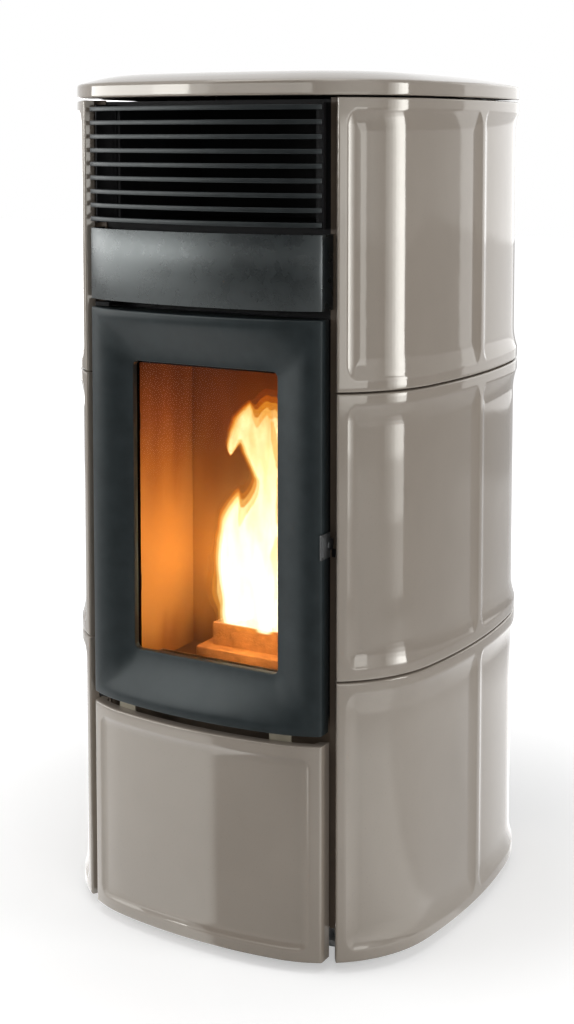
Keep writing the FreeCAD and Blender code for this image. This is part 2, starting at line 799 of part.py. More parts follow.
def top_cover():
    wires = [outline_wire(0.0, cover_low)]
    for step in range(COVER_CROWN_STEPS + 1):
        angle = math.pi / 2 * step / COVER_CROWN_STEPS
        inset = COVER_CROWN_WIDTH * (1 - math.cos(angle))
        wires.append(outline_wire(inset, cover_shoulder + COVER_CROWN * math.sin(angle)))
    cover = Part.makeLoft(wires, True, True)
    cover = cover.cut(Part.Face(outline_wire(COVER_HOLLOW_INSET, cover_low - OVERRUN)).extrude(
        V(0, 0, COVER_HOLLOW_HEIGHT + OVERRUN)
    ))
    half = LID_HALF_WIDTH + LID_GAP
    cover = cover.cut(round_slab(
        -half, half, LID_FRONT - LID_GAP, lid_back + LID_GAP, ledge_top, cover_top + OVERRUN, LID_CORNER
    ))
    inner = LID_HALF_WIDTH - LID_LEDGE
    cover = cover.cut(box(
        -inner, inner, LID_FRONT + LID_LEDGE, lid_back - LID_LEDGE, cover_low, cover_top
    ))
    room = LID_KNUCKLE_RADIUS + LID_NOTCH_GAP
    for spans in lid_hinge_spans():
        cover = cover.cut(box(
            spans[0][0] - LID_NOTCH_GAP, spans[2][1] + LID_NOTCH_GAP, lid_back, lid_axis_y + room,
            lid_axis_z - room, cover_top + OVERRUN,
        ))
    middle = (carrier_outer + carrier_inner) / 2
    for turn in COVER_PAD_TURNS:
        for side in (turn, -turn):
            foot = plan(side, middle, tile_top)
            cover = cover.fuse(rod(COVER_PAD_RADIUS, foot, foot + V(0, 0, COVER_JOINT)))
    return cover


def lid_hinge_mounts():
    """Middle knuckles with their pins, on a foot that sits in the cover's notch."""
    room = LID_KNUCKLE_RADIUS + LID_NOTCH_GAP
    mounts = []
    for left, middle, right in lid_hinge_spans():
        axis = (lid_axis_y, lid_axis_z)
        start = middle[0] + LID_KNUCKLE_GAP
        end = middle[1] - LID_KNUCKLE_GAP
        knuckle = rod(LID_KNUCKLE_RADIUS, V(start, *axis), V(end, *axis))
        pin = rod(LID_PIN_RADIUS, V(left[0], *axis), V(right[1], *axis))
        foot = box(start, end, lid_axis_y, lid_axis_y + room, lid_axis_z - room, lid_axis_z)
        mounts.append(fused([knuckle, pin, foot]))
    return Part.makeCompound(mounts)


def hopper_lid():
    lid = round_slab(-LID_HALF_WIDTH, LID_HALF_WIDTH, LID_FRONT, lid_back, lid_low, cover_top, LID_CORNER)
    axis = (lid_axis_y, lid_axis_z)
    for spans in lid_hinge_spans():
        for number in (0, 2):
            start, end = spans[number]
            if number == 0:
                end -= LID_KNUCKLE_GAP
            else:
                start += LID_KNUCKLE_GAP
            knuckle = rod(LID_KNUCKLE_RADIUS, V(start, *axis), V(end, *axis))
            arm = box(
                start, end, lid_back - OVERRUN, lid_axis_y,
                lid_axis_z - LID_KNUCKLE_RADIUS, lid_axis_z,
            )
            lid = lid.fuse(knuckle).fuse(arm)
        bore = LID_PIN_RADIUS + RUNNING_GAP
        lid = lid.cut(rod(bore, V(spans[0][0], *axis), V(spans[0][1] - LID_KNUCKLE_GAP, *axis)))
        lid = lid.cut(rod(bore, V(spans[2][0] + LID_KNUCKLE_GAP, *axis), V(spans[2][1], *axis)))
    return lid.removeSplitter()


def lid_seal():
    half = LID_HALF_WIDTH - SHEET
    low = lid_low - LID_SEAL_THICK
    ring = round_slab(-half, half, LID_FRONT + SHEET, lid_back - SHEET, low, lid_low, LID_CORNER)
    inner = half - LID_SEAL_WIDTH
    return ring.cut(box(
        -inner, inner, LID_FRONT + SHEET + LID_SEAL_WIDTH, lid_back - SHEET - LID_SEAL_WIDTH,
        low - OVERRUN, lid_low + OVERRUN,
    ))


# Door

def ruled_ring(outer_edges, inner_edges):
    return [Part.makeRuledSurface(a, b) for a, b in zip(outer_edges, inner_edges)]


def door_bevel():
    """Cutter for the broad slope that falls from the door's curved rim to the flat window edge."""
    turn = turn_at_x(FRONT_HALF_WIDTH - DOOR_RIM_SIDE)
    low = door_low + DOOR_RIM_END
    high = door_high - DOOR_RIM_END
    breaks = (-turn, -FRONT_ANGLE, FRONT_ANGLE, turn)
    faces = []
    for outer_z, inner_z in ((low, window_low), (high, window_high)):
        outer = chain(-turn, turn, 0.0, outer_z)
        shares = [plan(t).x / plan(turn).x * WINDOW_HALF_WIDTH for t in breaks]
        points = [V(x, WINDOW_DEPTH, inner_z) for x in shares]
        inner = [line(a, b) for a, b in zip(points, points[1:])]
        faces += ruled_ring(outer, inner)
    for side in (-1, 1):
        top = plan(side * turn, 0.0, high)
        bottom = plan(side * turn, 0.0, low)
        window_top = V(side * WINDOW_HALF_WIDTH, WINDOW_DEPTH, window_high)
        window_bottom = V(side * WINDOW_HALF_WIDTH, WINDOW_DEPTH, window_low)
        faces.append(Part.makeRuledSurface(line(top, bottom), line(window_top, window_bottom)))
    for edge in chain(-turn, turn, 0.0, low):
        faces.append(edge.extrude(V(0, 0, high - low)))
    strips = [plan(t).x / plan(turn).x * WINDOW_HALF_WIDTH for t in breaks]
    for a, b in zip(strips, strips[1:]):
        faces.append(Part.Face(Part.makePolygon([
            V(a, WINDOW_DEPTH, window_low), V(b, WINDOW_DEPTH, window_low),
            V(b, WINDOW_DEPTH, window_high), V(a, WINDOW_DEPTH, window_high), V(a, WINDOW_DEPTH, window_low),
        ])))
    shell = Part.makeShell(faces)
    shell.sewShape()
    solid = Part.makeSolid(shell)
    if solid.Volume < 0:
        solid.reverse()
    return solid.fuse(band(-turn, turn, -OVERRUN, 0.0, low, high))


def door_frame():
    edge = plan(front_edge_turn)
    chamfer = DOOR_BACK_CHAMFER
    edges = chain(-front_edge_turn, front_edge_turn, 0.0, door_low)
    half = edge.x
    corners = [
        V(half, edge.y, door_low), V(half, DOOR_BACK - chamfer, door_low),
        V(half - chamfer, DOOR_BACK, door_low), V(-half + chamfer, DOOR_BACK, door_low),
        V(-half, DOOR_BACK - chamfer, door_low), V(-half, edge.y, door_low),
    ]
    edges += [line(a, b) for a, b in zip(corners, corners[1:])]
    door = closed_face(edges).extrude(V(0, 0, door_high - door_low))
    door = door.cut(door_bevel())
    door = door.cut(round_box(
        WINDOW_HALF_WIDTH, window_low, window_high, WINDOW_DEPTH - OVERRUN, DOOR_BACK + OVERRUN, WINDOW_CORNER
    ))
    pocket = WINDOW_HALF_WIDTH + GLASS_LAP
    door = door.cut(box(
        -pocket, pocket, WINDOW_DEPTH + WINDOW_LIP, DOOR_BACK + OVERRUN,
        window_low - GLASS_LAP, window_high + GLASS_LAP,
    ))
    bore = HINGE_PIN_RADIUS + RUNNING_GAP
    reach = HINGE_PIN_REACH + HINGE_AIR
    for bottom in (door_low, door_high - reach):
        start = V(hinge_x, HINGE_DEPTH, bottom)
        door = door.cut(rod(bore, start, start + V(0, 0, reach)))
    pivot = V(half, LATCH_PIVOT_DEPTH, latch_z)
    length = LATCH_AIR + LATCH_THICK + LATCH_PIN_HEAD
    return door.fuse(rod(LATCH_PIN_RADIUS, pivot, pivot + V(length, 0, 0)))


def door_glass():
    half = WINDOW_HALF_WIDTH + GLASS_LAP - GLASS_SIDE_GAP
    front = WINDOW_DEPTH + WINDOW_LIP + GLASS_SEAL
    lap = GLASS_LAP - GLASS_SIDE_GAP
    return box(-half, half, front, front + GLASS_THICK, window_low - lap, window_high + lap)


def glass_seal():
    half = WINDOW_HALF_WIDTH + GLASS_LAP - GLASS_SIDE_GAP
    front = WINDOW_DEPTH + WINDOW_LIP
    lap = GLASS_LAP - GLASS_SIDE_GAP
    ring = box(-half, half, front, front + GLASS_SEAL, window_low - lap, window_high + lap)
    inner = half - GLASS_SEAL_WIDTH
    draw = lap - GLASS_SEAL_WIDTH
    return ring.cut(box(
        -inner, inner, front - OVERRUN, front + GLASS_SEAL + OVERRUN, window_low - draw, window_high + draw
    ))


def glass_clips():
    """Sheet clips on the door's back; each toe presses on the glass."""
    pocket = WINDOW_HALF_WIDTH + GLASS_LAP
    glass_back = WINDOW_DEPTH + WINDOW_LIP + GLASS_SEAL + GLASS_THICK
    clips = []
    for height in (window_low + CLIP_FROM_WINDOW_END, window_high - CLIP_FROM_WINDOW_END):
        low = height - CLIP_HEIGHT / 2
        high = height + CLIP_HEIGHT / 2
        start = pocket - CLIP_TOE
        leaf = box(start, pocket + CLIP_REACH, DOOR_BACK, DOOR_BACK + CLIP_SHEET, low, high)
        toe = box(start, start + CLIP_SHEET, glass_back, DOOR_BACK + CLIP_SHEET, low, high)
        clips += both_sides(fused([leaf, toe]))
    return Part.makeCompound(clips)


def door_seal():
    """Rope seal round the firebox mouth, on the door's back."""
    half = lining_inner_half + DOOR_SEAL_INSET + DOOR_SEAL_WIDTH
    low = fire_mouth_low - DOOR_SEAL_INSET - DOOR_SEAL_WIDTH
    high = lining_top + DOOR_SEAL_INSET + DOOR_SEAL_WIDTH
    back = frame_front - SEAT_GAP
    ring = round_box(half, low, high, DOOR_BACK, back, DOOR_SEAL_CORNER)
    return ring.cut(round_box(
        half - DOOR_SEAL_WIDTH, low + DOOR_SEAL_WIDTH, high - DOOR_SEAL_WIDTH,
        DOOR_BACK - OVERRUN, back + OVERRUN, DOOR_SEAL_CORNER - DOOR_SEAL_WIDTH / 2,
    ))


def door_hinge_brackets():
    brackets = []
    spans = (
        (door_low - HINGE_AIR - HINGE_PLATE, door_low - HINGE_AIR, door_low + HINGE_PIN_REACH),
        (door_high + HINGE_AIR, door_high + HINGE_AIR + HINGE_PLATE, door_high - HINGE_PIN_REACH),
    )
    for low, high, tip in spans:
        plate = box(
            hinge_x - HINGE_HALF_WIDTH, hinge_x + HINGE_HALF_WIDTH,
            HINGE_DEPTH - HINGE_NOSE, frame_front, low, high,
        )
        bottom = min(low, tip)
        top = max(high, tip)
        pin = rod(HINGE_PIN_RADIUS, V(hinge_x, HINGE_DEPTH, bottom), V(hinge_x, HINGE_DEPTH, top))
        brackets.append(fused([plate, pin]))
    return Part.makeCompound(brackets)


def door_latch():
    """Flat lever on the door's right side; its front tab carries a finger slot."""
    left = plan(front_edge_turn).x + LATCH_AIR
    z = latch_z
    tab = box(left, left + LATCH_THICK, LATCH_FRONT, LATCH_SHOULDER, z - LATCH_TALL / 2, z + LATCH_TALL / 2)
    tail = box(left, left + LATCH_THICK, LATCH_SHOULDER, LATCH_BACK, z - LATCH_TAIL / 2, z + LATCH_TAIL / 2)
    lever = fused([tab, tail])
    slot = LATCH_FRONT + LATCH_SLOT_EDGE
    lever = lever.cut(box(
        left - OVERRUN, left + LATCH_THICK + OVERRUN, slot, slot + LATCH_SLOT_WIDTH,
        z - LATCH_SLOT_LENGTH / 2, z + LATCH_SLOT_LENGTH / 2,
    ))
    pivot = V(left, LATCH_PIVOT_DEPTH, z)
    return lever.cut(rod(LATCH_PIN_RADIUS + RUNNING_GAP, pivot, pivot + V(LATCH_THICK, 0, 0)))


def latch_keeper():
    top = latch_z - KEEPER_DROP + KEEPER_HEIGHT
    return box(
        FRONT_HALF_WIDTH, FRONT_HALF_WIDTH + KEEPER_WIDTH, flange_front - KEEPER_THICK, flange_front,
        top - KEEPER_HEIGHT, top,
    )


# Front frame, fascia and grille

def front_frame():
    plate = box(-frame_half, frame_half, frame_front, frame_back, CARRIER_LOW, tile_top - FRAME_TOP_GAP)
    through = (frame_front - OVERRUN, frame_back + OVERRUN)
    stile = frame_half - FRAME_STILE
    openings = (
        (stile, CARRIER_LOW + FRAME_BAR_LOW, panel_top - FRAME_BAR_UPPER),
        (lining_inner_half, fire_mouth_low, lining_top),
        (stile, firebox_high + DUCT_MARGIN, exchanger_top - DUCT_MARGIN / 2),
        (stile, fascia_high + SLAT_MARGIN / 2, tile_top - SLAT_MARGIN),
    )
    for half, low, high in openings:
        plate = plate.cut(box(-half, half, *through, low, high))
    for x in (-BRACKET_X, BRACKET_X):
        for height in (PEG_LOW, peg_high):
            plate = plate.cut(rod(PEG_RADIUS + SEAT_GAP, V(x, through[0], height), V(x, through[1], height)))
    return plate


def fascia_panel():
    """Curved sheet between door and grille, with side returns that reach back to the carriers."""
    face = band(-front_edge_turn, front_edge_turn, 0.0, FASCIA_SHEET, fascia_low, fascia_high)
    edge = plan(front_edge_turn, FASCIA_SHEET / 2)
    side = box(edge.x - FASCIA_SHEET, edge.x, edge.y, flange_front, fascia_low, fascia_high)
    return fused([face] + both_sides(side))


def slat_levels():
    first = fascia_high + SLAT_MARGIN
    pitch = (tile_top - SLAT_MARGIN - first) / (SLAT_COUNT - 1)
    return [first + number * pitch for number in range(SLAT_COUNT)]


def grille_slats():
    slats = []
    for height in slat_levels():
        slats.append(band(
            -front_edge_turn, front_edge_turn, 0.0, SLAT_DEPTH,
            height - SLAT_HEIGHT / 2, height + SLAT_HEIGHT / 2,
        ))
    return Part.makeCompound(slats)


def grille_posts():
    outer = FRONT_HALF_WIDTH - POST_INSET
    inner = outer - POST_WIDTH
    front = plan(turn_at_x(outer, SLAT_DEPTH), SLAT_DEPTH).y + SEAT_GAP
    levels = slat_levels()
    post = box(inner, outer, front, frame_front, levels[0] - SLAT_HEIGHT, levels[-1] + SLAT_HEIGHT)
    return Part.makeCompound(both_sides(post))


def air_plenum():
    """Sheet box behind the grille that gathers the warm air."""
    bounds = (
        -PLENUM_HALF_WIDTH, PLENUM_HALF_WIDTH, frame_back, frame_back + PLENUM_DEPTH,
        exchanger_top + PLENUM_MARGIN, tile_top - FRAME_TOP_GAP - PLENUM_MARGIN,
    )
    return box(*bounds).cut(hollow(bounds, PLENUM_SHEET, ("front",)))


# Firebox

def chute_axis():
    """Start and end of the chute's centre line, from the lining's face to inside the auger tube."""
    start = V(0, lining_front, chute_mouth_z)
    lean = math.radians(AUGER_LEAN_ANGLE)
    along = V(0, -math.sin(lean), math.cos(lean))
    across = V(0, -math.cos(lean), -math.sin(lean))
    foot = V(0, AUGER_FOOT_DEPTH, AUGER_FOOT_HEIGHT)
    meeting = foot + along * (AUGER_LENGTH - CHUTE_FROM_AUGER_TOP)
    return start, meeting + across * (AUGER_TUBE_RADIUS / 2)


def chute_rod(radius):
    start, end = chute_axis()
    direction = (end - start).normalize()
    return rod(radius, start - direction * CHUTE_RADIUS * 2, end)


def igniter_hole(radius):
    return rod(radius, V(0, HOLDER_FRONT, igniter_z), V(0, firebox_back + OVERRUN, igniter_z))


def firebox_shell():
    bounds = (-FIREBOX_HALF_WIDTH, FIREBOX_HALF_WIDTH, frame_back, firebox_back, firebox_low, firebox_high)
    shell = box(*bounds).cut(hollow(bounds, FIREBOX_WALL, ("front",)))
    slot_back = firebox_inner_back - GAS_SLOT_FROM_BACK
    shell = shell.cut(box(
        -GAS_SLOT_LENGTH / 2, GAS_SLOT_LENGTH / 2, slot_back - GAS_SLOT_WIDTH, slot_back,
        firebox_high - FIREBOX_WALL - OVERRUN, firebox_high + OVERRUN,
    ))
    shell = shell.cut(chute_rod(CHUTE_RADIUS + SEAT_GAP))
    shell = shell.cut(igniter_hole(IGNITER_RADIUS + IGNITER_HOLE_GAP))
    intake = V(INTAKE_X, INTAKE_RISER_DEPTH, firebox_low)
    return shell.cut(rod(INTAKE_RADIUS - INTAKE_WALL, intake, intake + V(0, 0, FIREBOX_WALL)))


def side_linings():
    lining = box(
        lining_inner_half, lining_inner_half + LINING_SIDE, frame_back, firebox_inner_back - SEAT_GAP,
        firebox_floor, lining_top,
    )
    return Part.makeCompound(both_sides(lining))


def back_lining():
    half = lining_inner_half - SEAT_GAP
    lining = box(-half, half, lining_front, lining_front + LINING_BACK, firebox_floor, lining_top)
    lining = lining.cut(chute_rod(CHUTE_RADIUS + SEAT_GAP))
    return lining.cut(igniter_hole(IGNITER_RADIUS + IGNITER_HOLE_GAP))


def baffle_plate():
    half = firebox_inner_half - SEAT_GAP
    return box(-half, half, frame_back, frame_back + BAFFLE_DEPTH, lining_top, lining_top + BAFFLE_THICK)


def exchanger_tube_xs():
    return [EXCHANGER_TUBE_FIRST + number * EXCHANGER_TUBE_PITCH for number in range(EXCHANGER_TUBES)]


def exchanger_box():
    bounds = (
        -FIREBOX_HALF_WIDTH, FIREBOX_HALF_WIDTH, frame_back, firebox_back, firebox_high, exchanger_top
    )
    case = box(*bounds).cut(hollow(bounds, EXCHANGER_WALL, ("bottom",)))
    height = (firebox_high + exchanger_top) / 2
    for x in exchanger_tube_xs():
        case = case.cut(rod(
            EXCHANGER_TUBE_RADIUS + SEAT_GAP, V(x, frame_back, height), V(x, firebox_back, height)
        ))
    return case.cut(box(
        DUCT_LEFT + SHEET, DUCT_RIGHT - SHEET, firebox_back - EXCHANGER_WALL - OVERRUN,
        firebox_back + OVERRUN, firebox_high + DUCT_MARGIN, exchanger_top - DUCT_MARGIN,
    ))


def exchanger_tubes():
    height = (firebox_high + exchanger_top) / 2
    tubes = []
    for x in exchanger_tube_xs():
        tubes.append(pipe(
            EXCHANGER_TUBE_RADIUS, EXCHANGER_TUBE_WALL, V(x, frame_back, height), V(x, firebox_back, height)
        ))
    return Part.makeCompound(tubes)


# Smoke path

def fan_point(x):
    return V(x, smoke_fan_y, SMOKE_FAN_HEIGHT)


def smoke_duct():
    """Duct down from the exchanger, ending in the box that feeds the smoke fan."""
    low = SMOKE_FAN_HEIGHT - SMOKE_FAN_RADIUS
    high = SMOKE_FAN_HEIGHT + SMOKE_FAN_RADIUS
    down = (DUCT_LEFT, DUCT_RIGHT, firebox_back, firebox_back + DUCT_DEPTH, low, exchanger_top)
    gather = (DUCT_LEFT, SMOKE_FAN_LEFT, firebox_back, mouth_back - COLLECTOR_GAP, low, high)
    duct = fused([box(*down), box(*gather)])
    duct = duct.cut(hollow(down, SHEET, ())).cut(hollow(gather, SHEET, ()))
    duct = duct.cut(box(
        DUCT_LEFT + SHEET, DUCT_RIGHT - SHEET, firebox_back - OVERRUN, firebox_back + SHEET + OVERRUN,
        firebox_high + DUCT_MARGIN, exchanger_top - DUCT_MARGIN,
    ))
    return duct.cut(rod(
        SMOKE_FAN_INLET, fan_point(SMOKE_FAN_LEFT - SHEET - OVERRUN), fan_point(SMOKE_FAN_LEFT)
    ))


def smoke_fan_housing():
    left = SMOKE_FAN_LEFT
    right = smoke_fan_right
    drum = rod(SMOKE_FAN_RADIUS, fan_point(left), fan_point(right))
    mouth = box(left, right, smoke_fan_y, mouth_back, mouth_low, mouth_high)
    half_foot = SMOKE_FAN_FOOT / 2
    foot = box(
        left, right, smoke_fan_y - half_foot, smoke_fan_y + half_foot, base_top, SMOKE_FAN_HEIGHT
    )
    housing = fused([drum, mouth, foot])
    inside = rod(SMOKE_FAN_RADIUS - SHEET, fan_point(left + SHEET), fan_point(right - SHEET))
    inside = inside.fuse(box(
        left + SHEET, right - SHEET, smoke_fan_y, mouth_back + OVERRUN,
        mouth_low + SHEET, mouth_high - SHEET,
    ))
    housing = housing.cut(inside)
    housing = housing.cut(rod(SMOKE_FAN_INLET, fan_point(left - OVERRUN), fan_point(left + SHEET + OVERRUN)))
    bore = SMOKE_SHAFT_RADIUS + RUNNING_GAP
    return housing.cut(rod(bore, fan_point(right - SHEET - OVERRUN), fan_point(right + OVERRUN)))


def smoke_fan_wheel():
    back = smoke_fan_right - SHEET - SMOKE_WHEEL_GAP
    front = back - SMOKE_WHEEL_DISC - SMOKE_WHEEL_BLADE_WIDTH
    disc = rod(SMOKE_WHEEL_RADIUS, fan_point(back - SMOKE_WHEEL_DISC), fan_point(back))
    hub = rod(SMOKE_WHEEL_HUB, fan_point(front), fan_point(back))
    shaft_end = smoke_fan_right + SMOKE_MOTOR_LENGTH - SMOKE_WHEEL_GAP
    shaft = rod(SMOKE_SHAFT_RADIUS, fan_point(back), fan_point(shaft_end))
    pieces = [disc, hub, shaft]
    half = SMOKE_WHEEL_BLADE / 2
    for number in range(SMOKE_WHEEL_BLADES):
        blade = box(
            front, back, smoke_fan_y - half, smoke_fan_y + half,
            SMOKE_FAN_HEIGHT, SMOKE_FAN_HEIGHT + SMOKE_WHEEL_RADIUS - half,
        )
        blade.rotate(fan_point(0), V(1, 0, 0), number * 360.0 / SMOKE_WHEEL_BLADES)
        pieces.append(blade)
    return fused(pieces)


def smoke_fan_motor():
    start = fan_point(smoke_fan_right)
    end = fan_point(smoke_fan_right + SMOKE_MOTOR_LENGTH)
    bore = SMOKE_SHAFT_RADIUS + RUNNING_GAP
    stop = fan_point(smoke_fan_right + SMOKE_MOTOR_LENGTH - SMOKE_WHEEL_GAP + SEAT_GAP)
    return rod(SMOKE_MOTOR_RADIUS, start, end).cut(rod(bore, start, stop))


def flue_spigot():
    """Round outlet with a plate on the fan's mouth and a collar against the rear panel."""
    centre = (spigot_x, spigot_z)
    plate_end = mouth_back + SPIGOT_PLATE
    lap = SPIGOT_PLATE_LAP
    plate = box(
        SMOKE_FAN_LEFT - lap, smoke_fan_right + lap, mouth_back, plate_end, mouth_low - lap, mouth_high + lap
    )
    start = V(centre[0], plate_end, centre[1])
    end = V(centre[0], PART_DEPTH, centre[1])
    face = V(centre[0], body_depth, centre[1])
    tube = rod(SPIGOT_RADIUS, start, end)
    collar = rod(SPIGOT_RADIUS + SPIGOT_COLLAR, face, face + V(0, COLLAR_THICK, 0))
    body = fused([plate, tube, collar])
    return body.cut(rod(SPIGOT_RADIUS - SPIGOT_WALL, V(centre[0], mouth_back, centre[1]), end))


def air_intake_pipe():
    """Pipe from the back to below the firebox, with a riser and a collar on the rear panel."""
    back = V(INTAKE_X, body_depth + INTAKE_PROUD, INTAKE_HEIGHT)
    bend = V(INTAKE_X, INTAKE_RISER_DEPTH, INTAKE_HEIGHT)
    top = V(INTAKE_X, INTAKE_RISER_DEPTH, firebox_low)
    face = V(INTAKE_X, body_depth, INTAKE_HEIGHT)
    collar = rod(INTAKE_RADIUS + INTAKE_COLLAR, face, face + V(0, COLLAR_THICK, 0))
    knee = Part.makeSphere(INTAKE_RADIUS, bend)
    body = fused([rod(INTAKE_RADIUS, bend, back), rod(INTAKE_RADIUS, bend, top), knee, collar])
    bore = INTAKE_RADIUS - INTAKE_WALL
    inside = fused([rod(bore, bend, back), rod(bore, bend, top), Part.makeSphere(bore, bend)])
    return body.cut(inside)


# Fire pot and ash

def brazier_holder():
    """Cast box on the firebox floor; the brazier's foot drops into its top."""
    bounds = (-HOLDER_HALF_WIDTH, HOLDER_HALF_WIDTH, HOLDER_FRONT, holder_back, firebox_floor, holder_top)
    holder = box(*bounds).cut(hollow(bounds, HOLDER_WALL, ("bottom",)))
    half = BRAZIER_HALF_WIDTH - BRAZIER_STEP + BRAZIER_FIT
    holder = holder.cut(box(
        -half, half, BRAZIER_FRONT + BRAZIER_STEP - BRAZIER_FIT, brazier_back - BRAZIER_STEP + BRAZIER_FIT,
        firebox_floor, holder_top + OVERRUN,
    ))
    return holder.cut(igniter_hole(IGNITER_RADIUS + SEAT_GAP))


def brazier():
    """Cast pot: a wide cup above, a narrower perforated foot below."""
    foot_half = BRAZIER_HALF_WIDTH - BRAZIER_STEP
    foot_front = BRAZIER_FRONT + BRAZIER_STEP
    foot_back = brazier_back - BRAZIER_STEP
    foot_low = holder_top - BRAZIER_FOOT
    cup = box(
        -BRAZIER_HALF_WIDTH, BRAZIER_HALF_WIDTH, BRAZIER_FRONT, brazier_back, holder_top, brazier_top
    )
    foot = box(-foot_half, foot_half, foot_front, foot_back, foot_low, holder_top)
    wall = BRAZIER_WALL
    pot = fused([cup, foot])
    pot = pot.cut(box(
        -BRAZIER_HALF_WIDTH + wall, BRAZIER_HALF_WIDTH - wall, BRAZIER_FRONT + wall, brazier_back - wall,
        holder_top + wall, brazier_top + OVERRUN,
    ))
    pot = pot.cut(box(
        -foot_half + wall, foot_half - wall, foot_front + wall, foot_back - wall, foot_low + wall, brazier_top
    ))
    columns, rows = BRAZIER_HOLES
    inside_x = foot_half - wall
    inside_front = foot_front + wall
    inside_back = foot_back - wall
    for column in range(columns):
        x = -inside_x + (column + 0.5) * 2 * inside_x / columns
        for row in range(rows):
            y = inside_front + (row + 0.5) * (inside_back - inside_front) / rows
            start = V(x, y, foot_low - OVERRUN)
            pot = pot.cut(rod(BRAZIER_HOLE_RADIUS, start, start + V(0, 0, wall + 2 * OVERRUN)))
    return pot


def ash_pan():
    bounds = (
        -ASH_PAN_HALF_WIDTH, ASH_PAN_HALF_WIDTH, ASH_PAN_FRONT, HOLDER_FRONT - ASH_PAN_GAP,
        firebox_floor, firebox_floor + ASH_PAN_HEIGHT,
    )
    return box(*bounds).cut(hollow(bounds, ASH_PAN_SHEET, ("top",)))


def igniter():
    """Heating rod in the holder's back wall, with its ceramic head behind the firebox."""
    tip = brazier_back - BRAZIER_STEP + BRAZIER_FIT + IGNITER_TIP_GAP
    head = firebox_back + SEAT_GAP
    head_end = head + IGNITER_HEAD_LENGTH
    rod_piece = rod(IGNITER_RADIUS, V(0, tip, igniter_z), V(0, head_end + IGNITER_TAIL, igniter_z))
    head_piece = rod(IGNITER_HEAD_RADIUS, V(0, head, igniter_z), V(0, head_end, igniter_z))
    return fused([rod_piece, head_piece])


# Pellet feed

def on_auger(shape):
    """Place a shape made along +Z at the auger's foot, leaning forward."""
    placed = shape.copy()
    placed.rotate(V(0, 0, 0), V(1, 0, 0), AUGER_LEAN_ANGLE)
    placed.translate(V(0, AUGER_FOOT_DEPTH, AUGER_FOOT_HEIGHT))
    return placed


def up(z):
    return V(0, 0, z)


def neck_centre():
    lean = math.radians(AUGER_LEAN_ANGLE)
    return AUGER_FOOT_DEPTH - NECK_ALONG_AUGER * math.sin(lean)


def neck_box(shrink):
    half = NECK_HALF - shrink
    middle = neck_centre()
    return box(-half, half, middle - half, middle + half, AUGER_FOOT_HEIGHT, neck_top)


def upper_half_of_auger():
    """Block that keeps only what lies above the auger's axis."""
    side = AUGER_LENGTH + 2 * AUGER_TUBE_RADIUS
    return on_auger(box(-side, side, 0, side, -side, 2 * side))


def auger_tube():
    tube = pipe(AUGER_TUBE_RADIUS, AUGER_TUBE_WALL, up(0), up(AUGER_LENGTH))
    cap = rod(AUGER_TUBE_RADIUS, up(AUGER_LENGTH), up(AUGER_LENGTH + AUGER_CAP))
    half = AUGER_FLANGE / 2
    flange = box(-half, half, -half, half, -AUGER_FLANGE_THICK, 0)
    flange = flange.cut(rod(AUGER_SHAFT_RADIUS + RUNNING_GAP, up(-AUGER_FLANGE_THICK), up(0)))
    cap = cap.cut(rod(AUGER_SHAFT_RADIUS + RUNNING_GAP, up(AUGER_LENGTH), up(AUGER_LENGTH + AUGER_CAP)))
    tube = on_auger(fused([tube, cap, flange]))
    tube = tube.cut(neck_box(HOPPER_SHEET).common(upper_half_of_auger()))
    return tube.cut(chute_rod(CHUTE_RADIUS - CHUTE_WALL))


def auger_screw():
    """Shaft with one long helical flight."""
    foot = -AUGER_FLANGE_THICK - GEARBOX_LENGTH / 2
    shaft = rod(AUGER_SHAFT_RADIUS, up(foot), up(AUGER_LENGTH + AUGER_CAP))
    middle = (AUGER_SHAFT_RADIUS + AUGER_FLIGHT_RADIUS) / 2
    flight_length = AUGER_LENGTH - AUGER_FLIGHT_START - AUGER_FLIGHT_END
    path = Part.makeHelix(AUGER_PITCH, flight_length, middle)
    root = AUGER_SHAFT_RADIUS - SEAT_GAP
    half = AUGER_FLIGHT_THICK / 2
    section = Part.makePolygon([
        V(root, 0, -half), V(AUGER_FLIGHT_RADIUS, 0, -half), V(AUGER_FLIGHT_RADIUS, 0, half),
        V(root, 0, half), V(root, 0, -half),
    ])
    flight = Part.Wire(path.Edges).makePipeShell([section], True, True)
    flight.translate(up(AUGER_FLIGHT_START))
    return on_auger(shaft.fuse(flight))


def auger_motor():
    half = GEARBOX_WIDTH / 2
    top = -AUGER_FLANGE_THICK
    gearbox = box(-half, half, -half, half, top - GEARBOX_LENGTH, top)
    motor = rod(MOTOR_RADIUS, up(top - GEARBOX_LENGTH - MOTOR_LENGTH), up(top - GEARBOX_LENGTH))
    body = fused([gearbox, motor])
    depth = GEARBOX_LENGTH / 2 + SEAT_GAP
    return on_auger(body.cut(rod(AUGER_SHAFT_RADIUS + RUNNING_GAP, up(top - depth), up(top))))


def pellet_chute():
    tube = chute_rod(CHUTE_RADIUS).cut(chute_rod(CHUTE_RADIUS - CHUTE_WALL))
    tube = tube.cut(box(
        -CHUTE_RADIUS * 2, CHUTE_RADIUS * 2, 0, lining_front, chute_mouth_z - CHUTE_RADIUS * 5,
        chute_mouth_z + CHUTE_RADIUS * 5,
    ))
    far = AUGER_LENGTH + AUGER_CAP + AUGER_TUBE_RADIUS
    return tube.cut(on_auger(rod(AUGER_TUBE_RADIUS + SEAT_GAP, up(-AUGER_TUBE_RADIUS), up(far))))


def rectangle(half, front, back, height):
    return Part.makePolygon([
        V(-half, front, height), V(half, front, height), V(half, back, height), V(-half, back, height),
        V(-half, front, height),
    ])


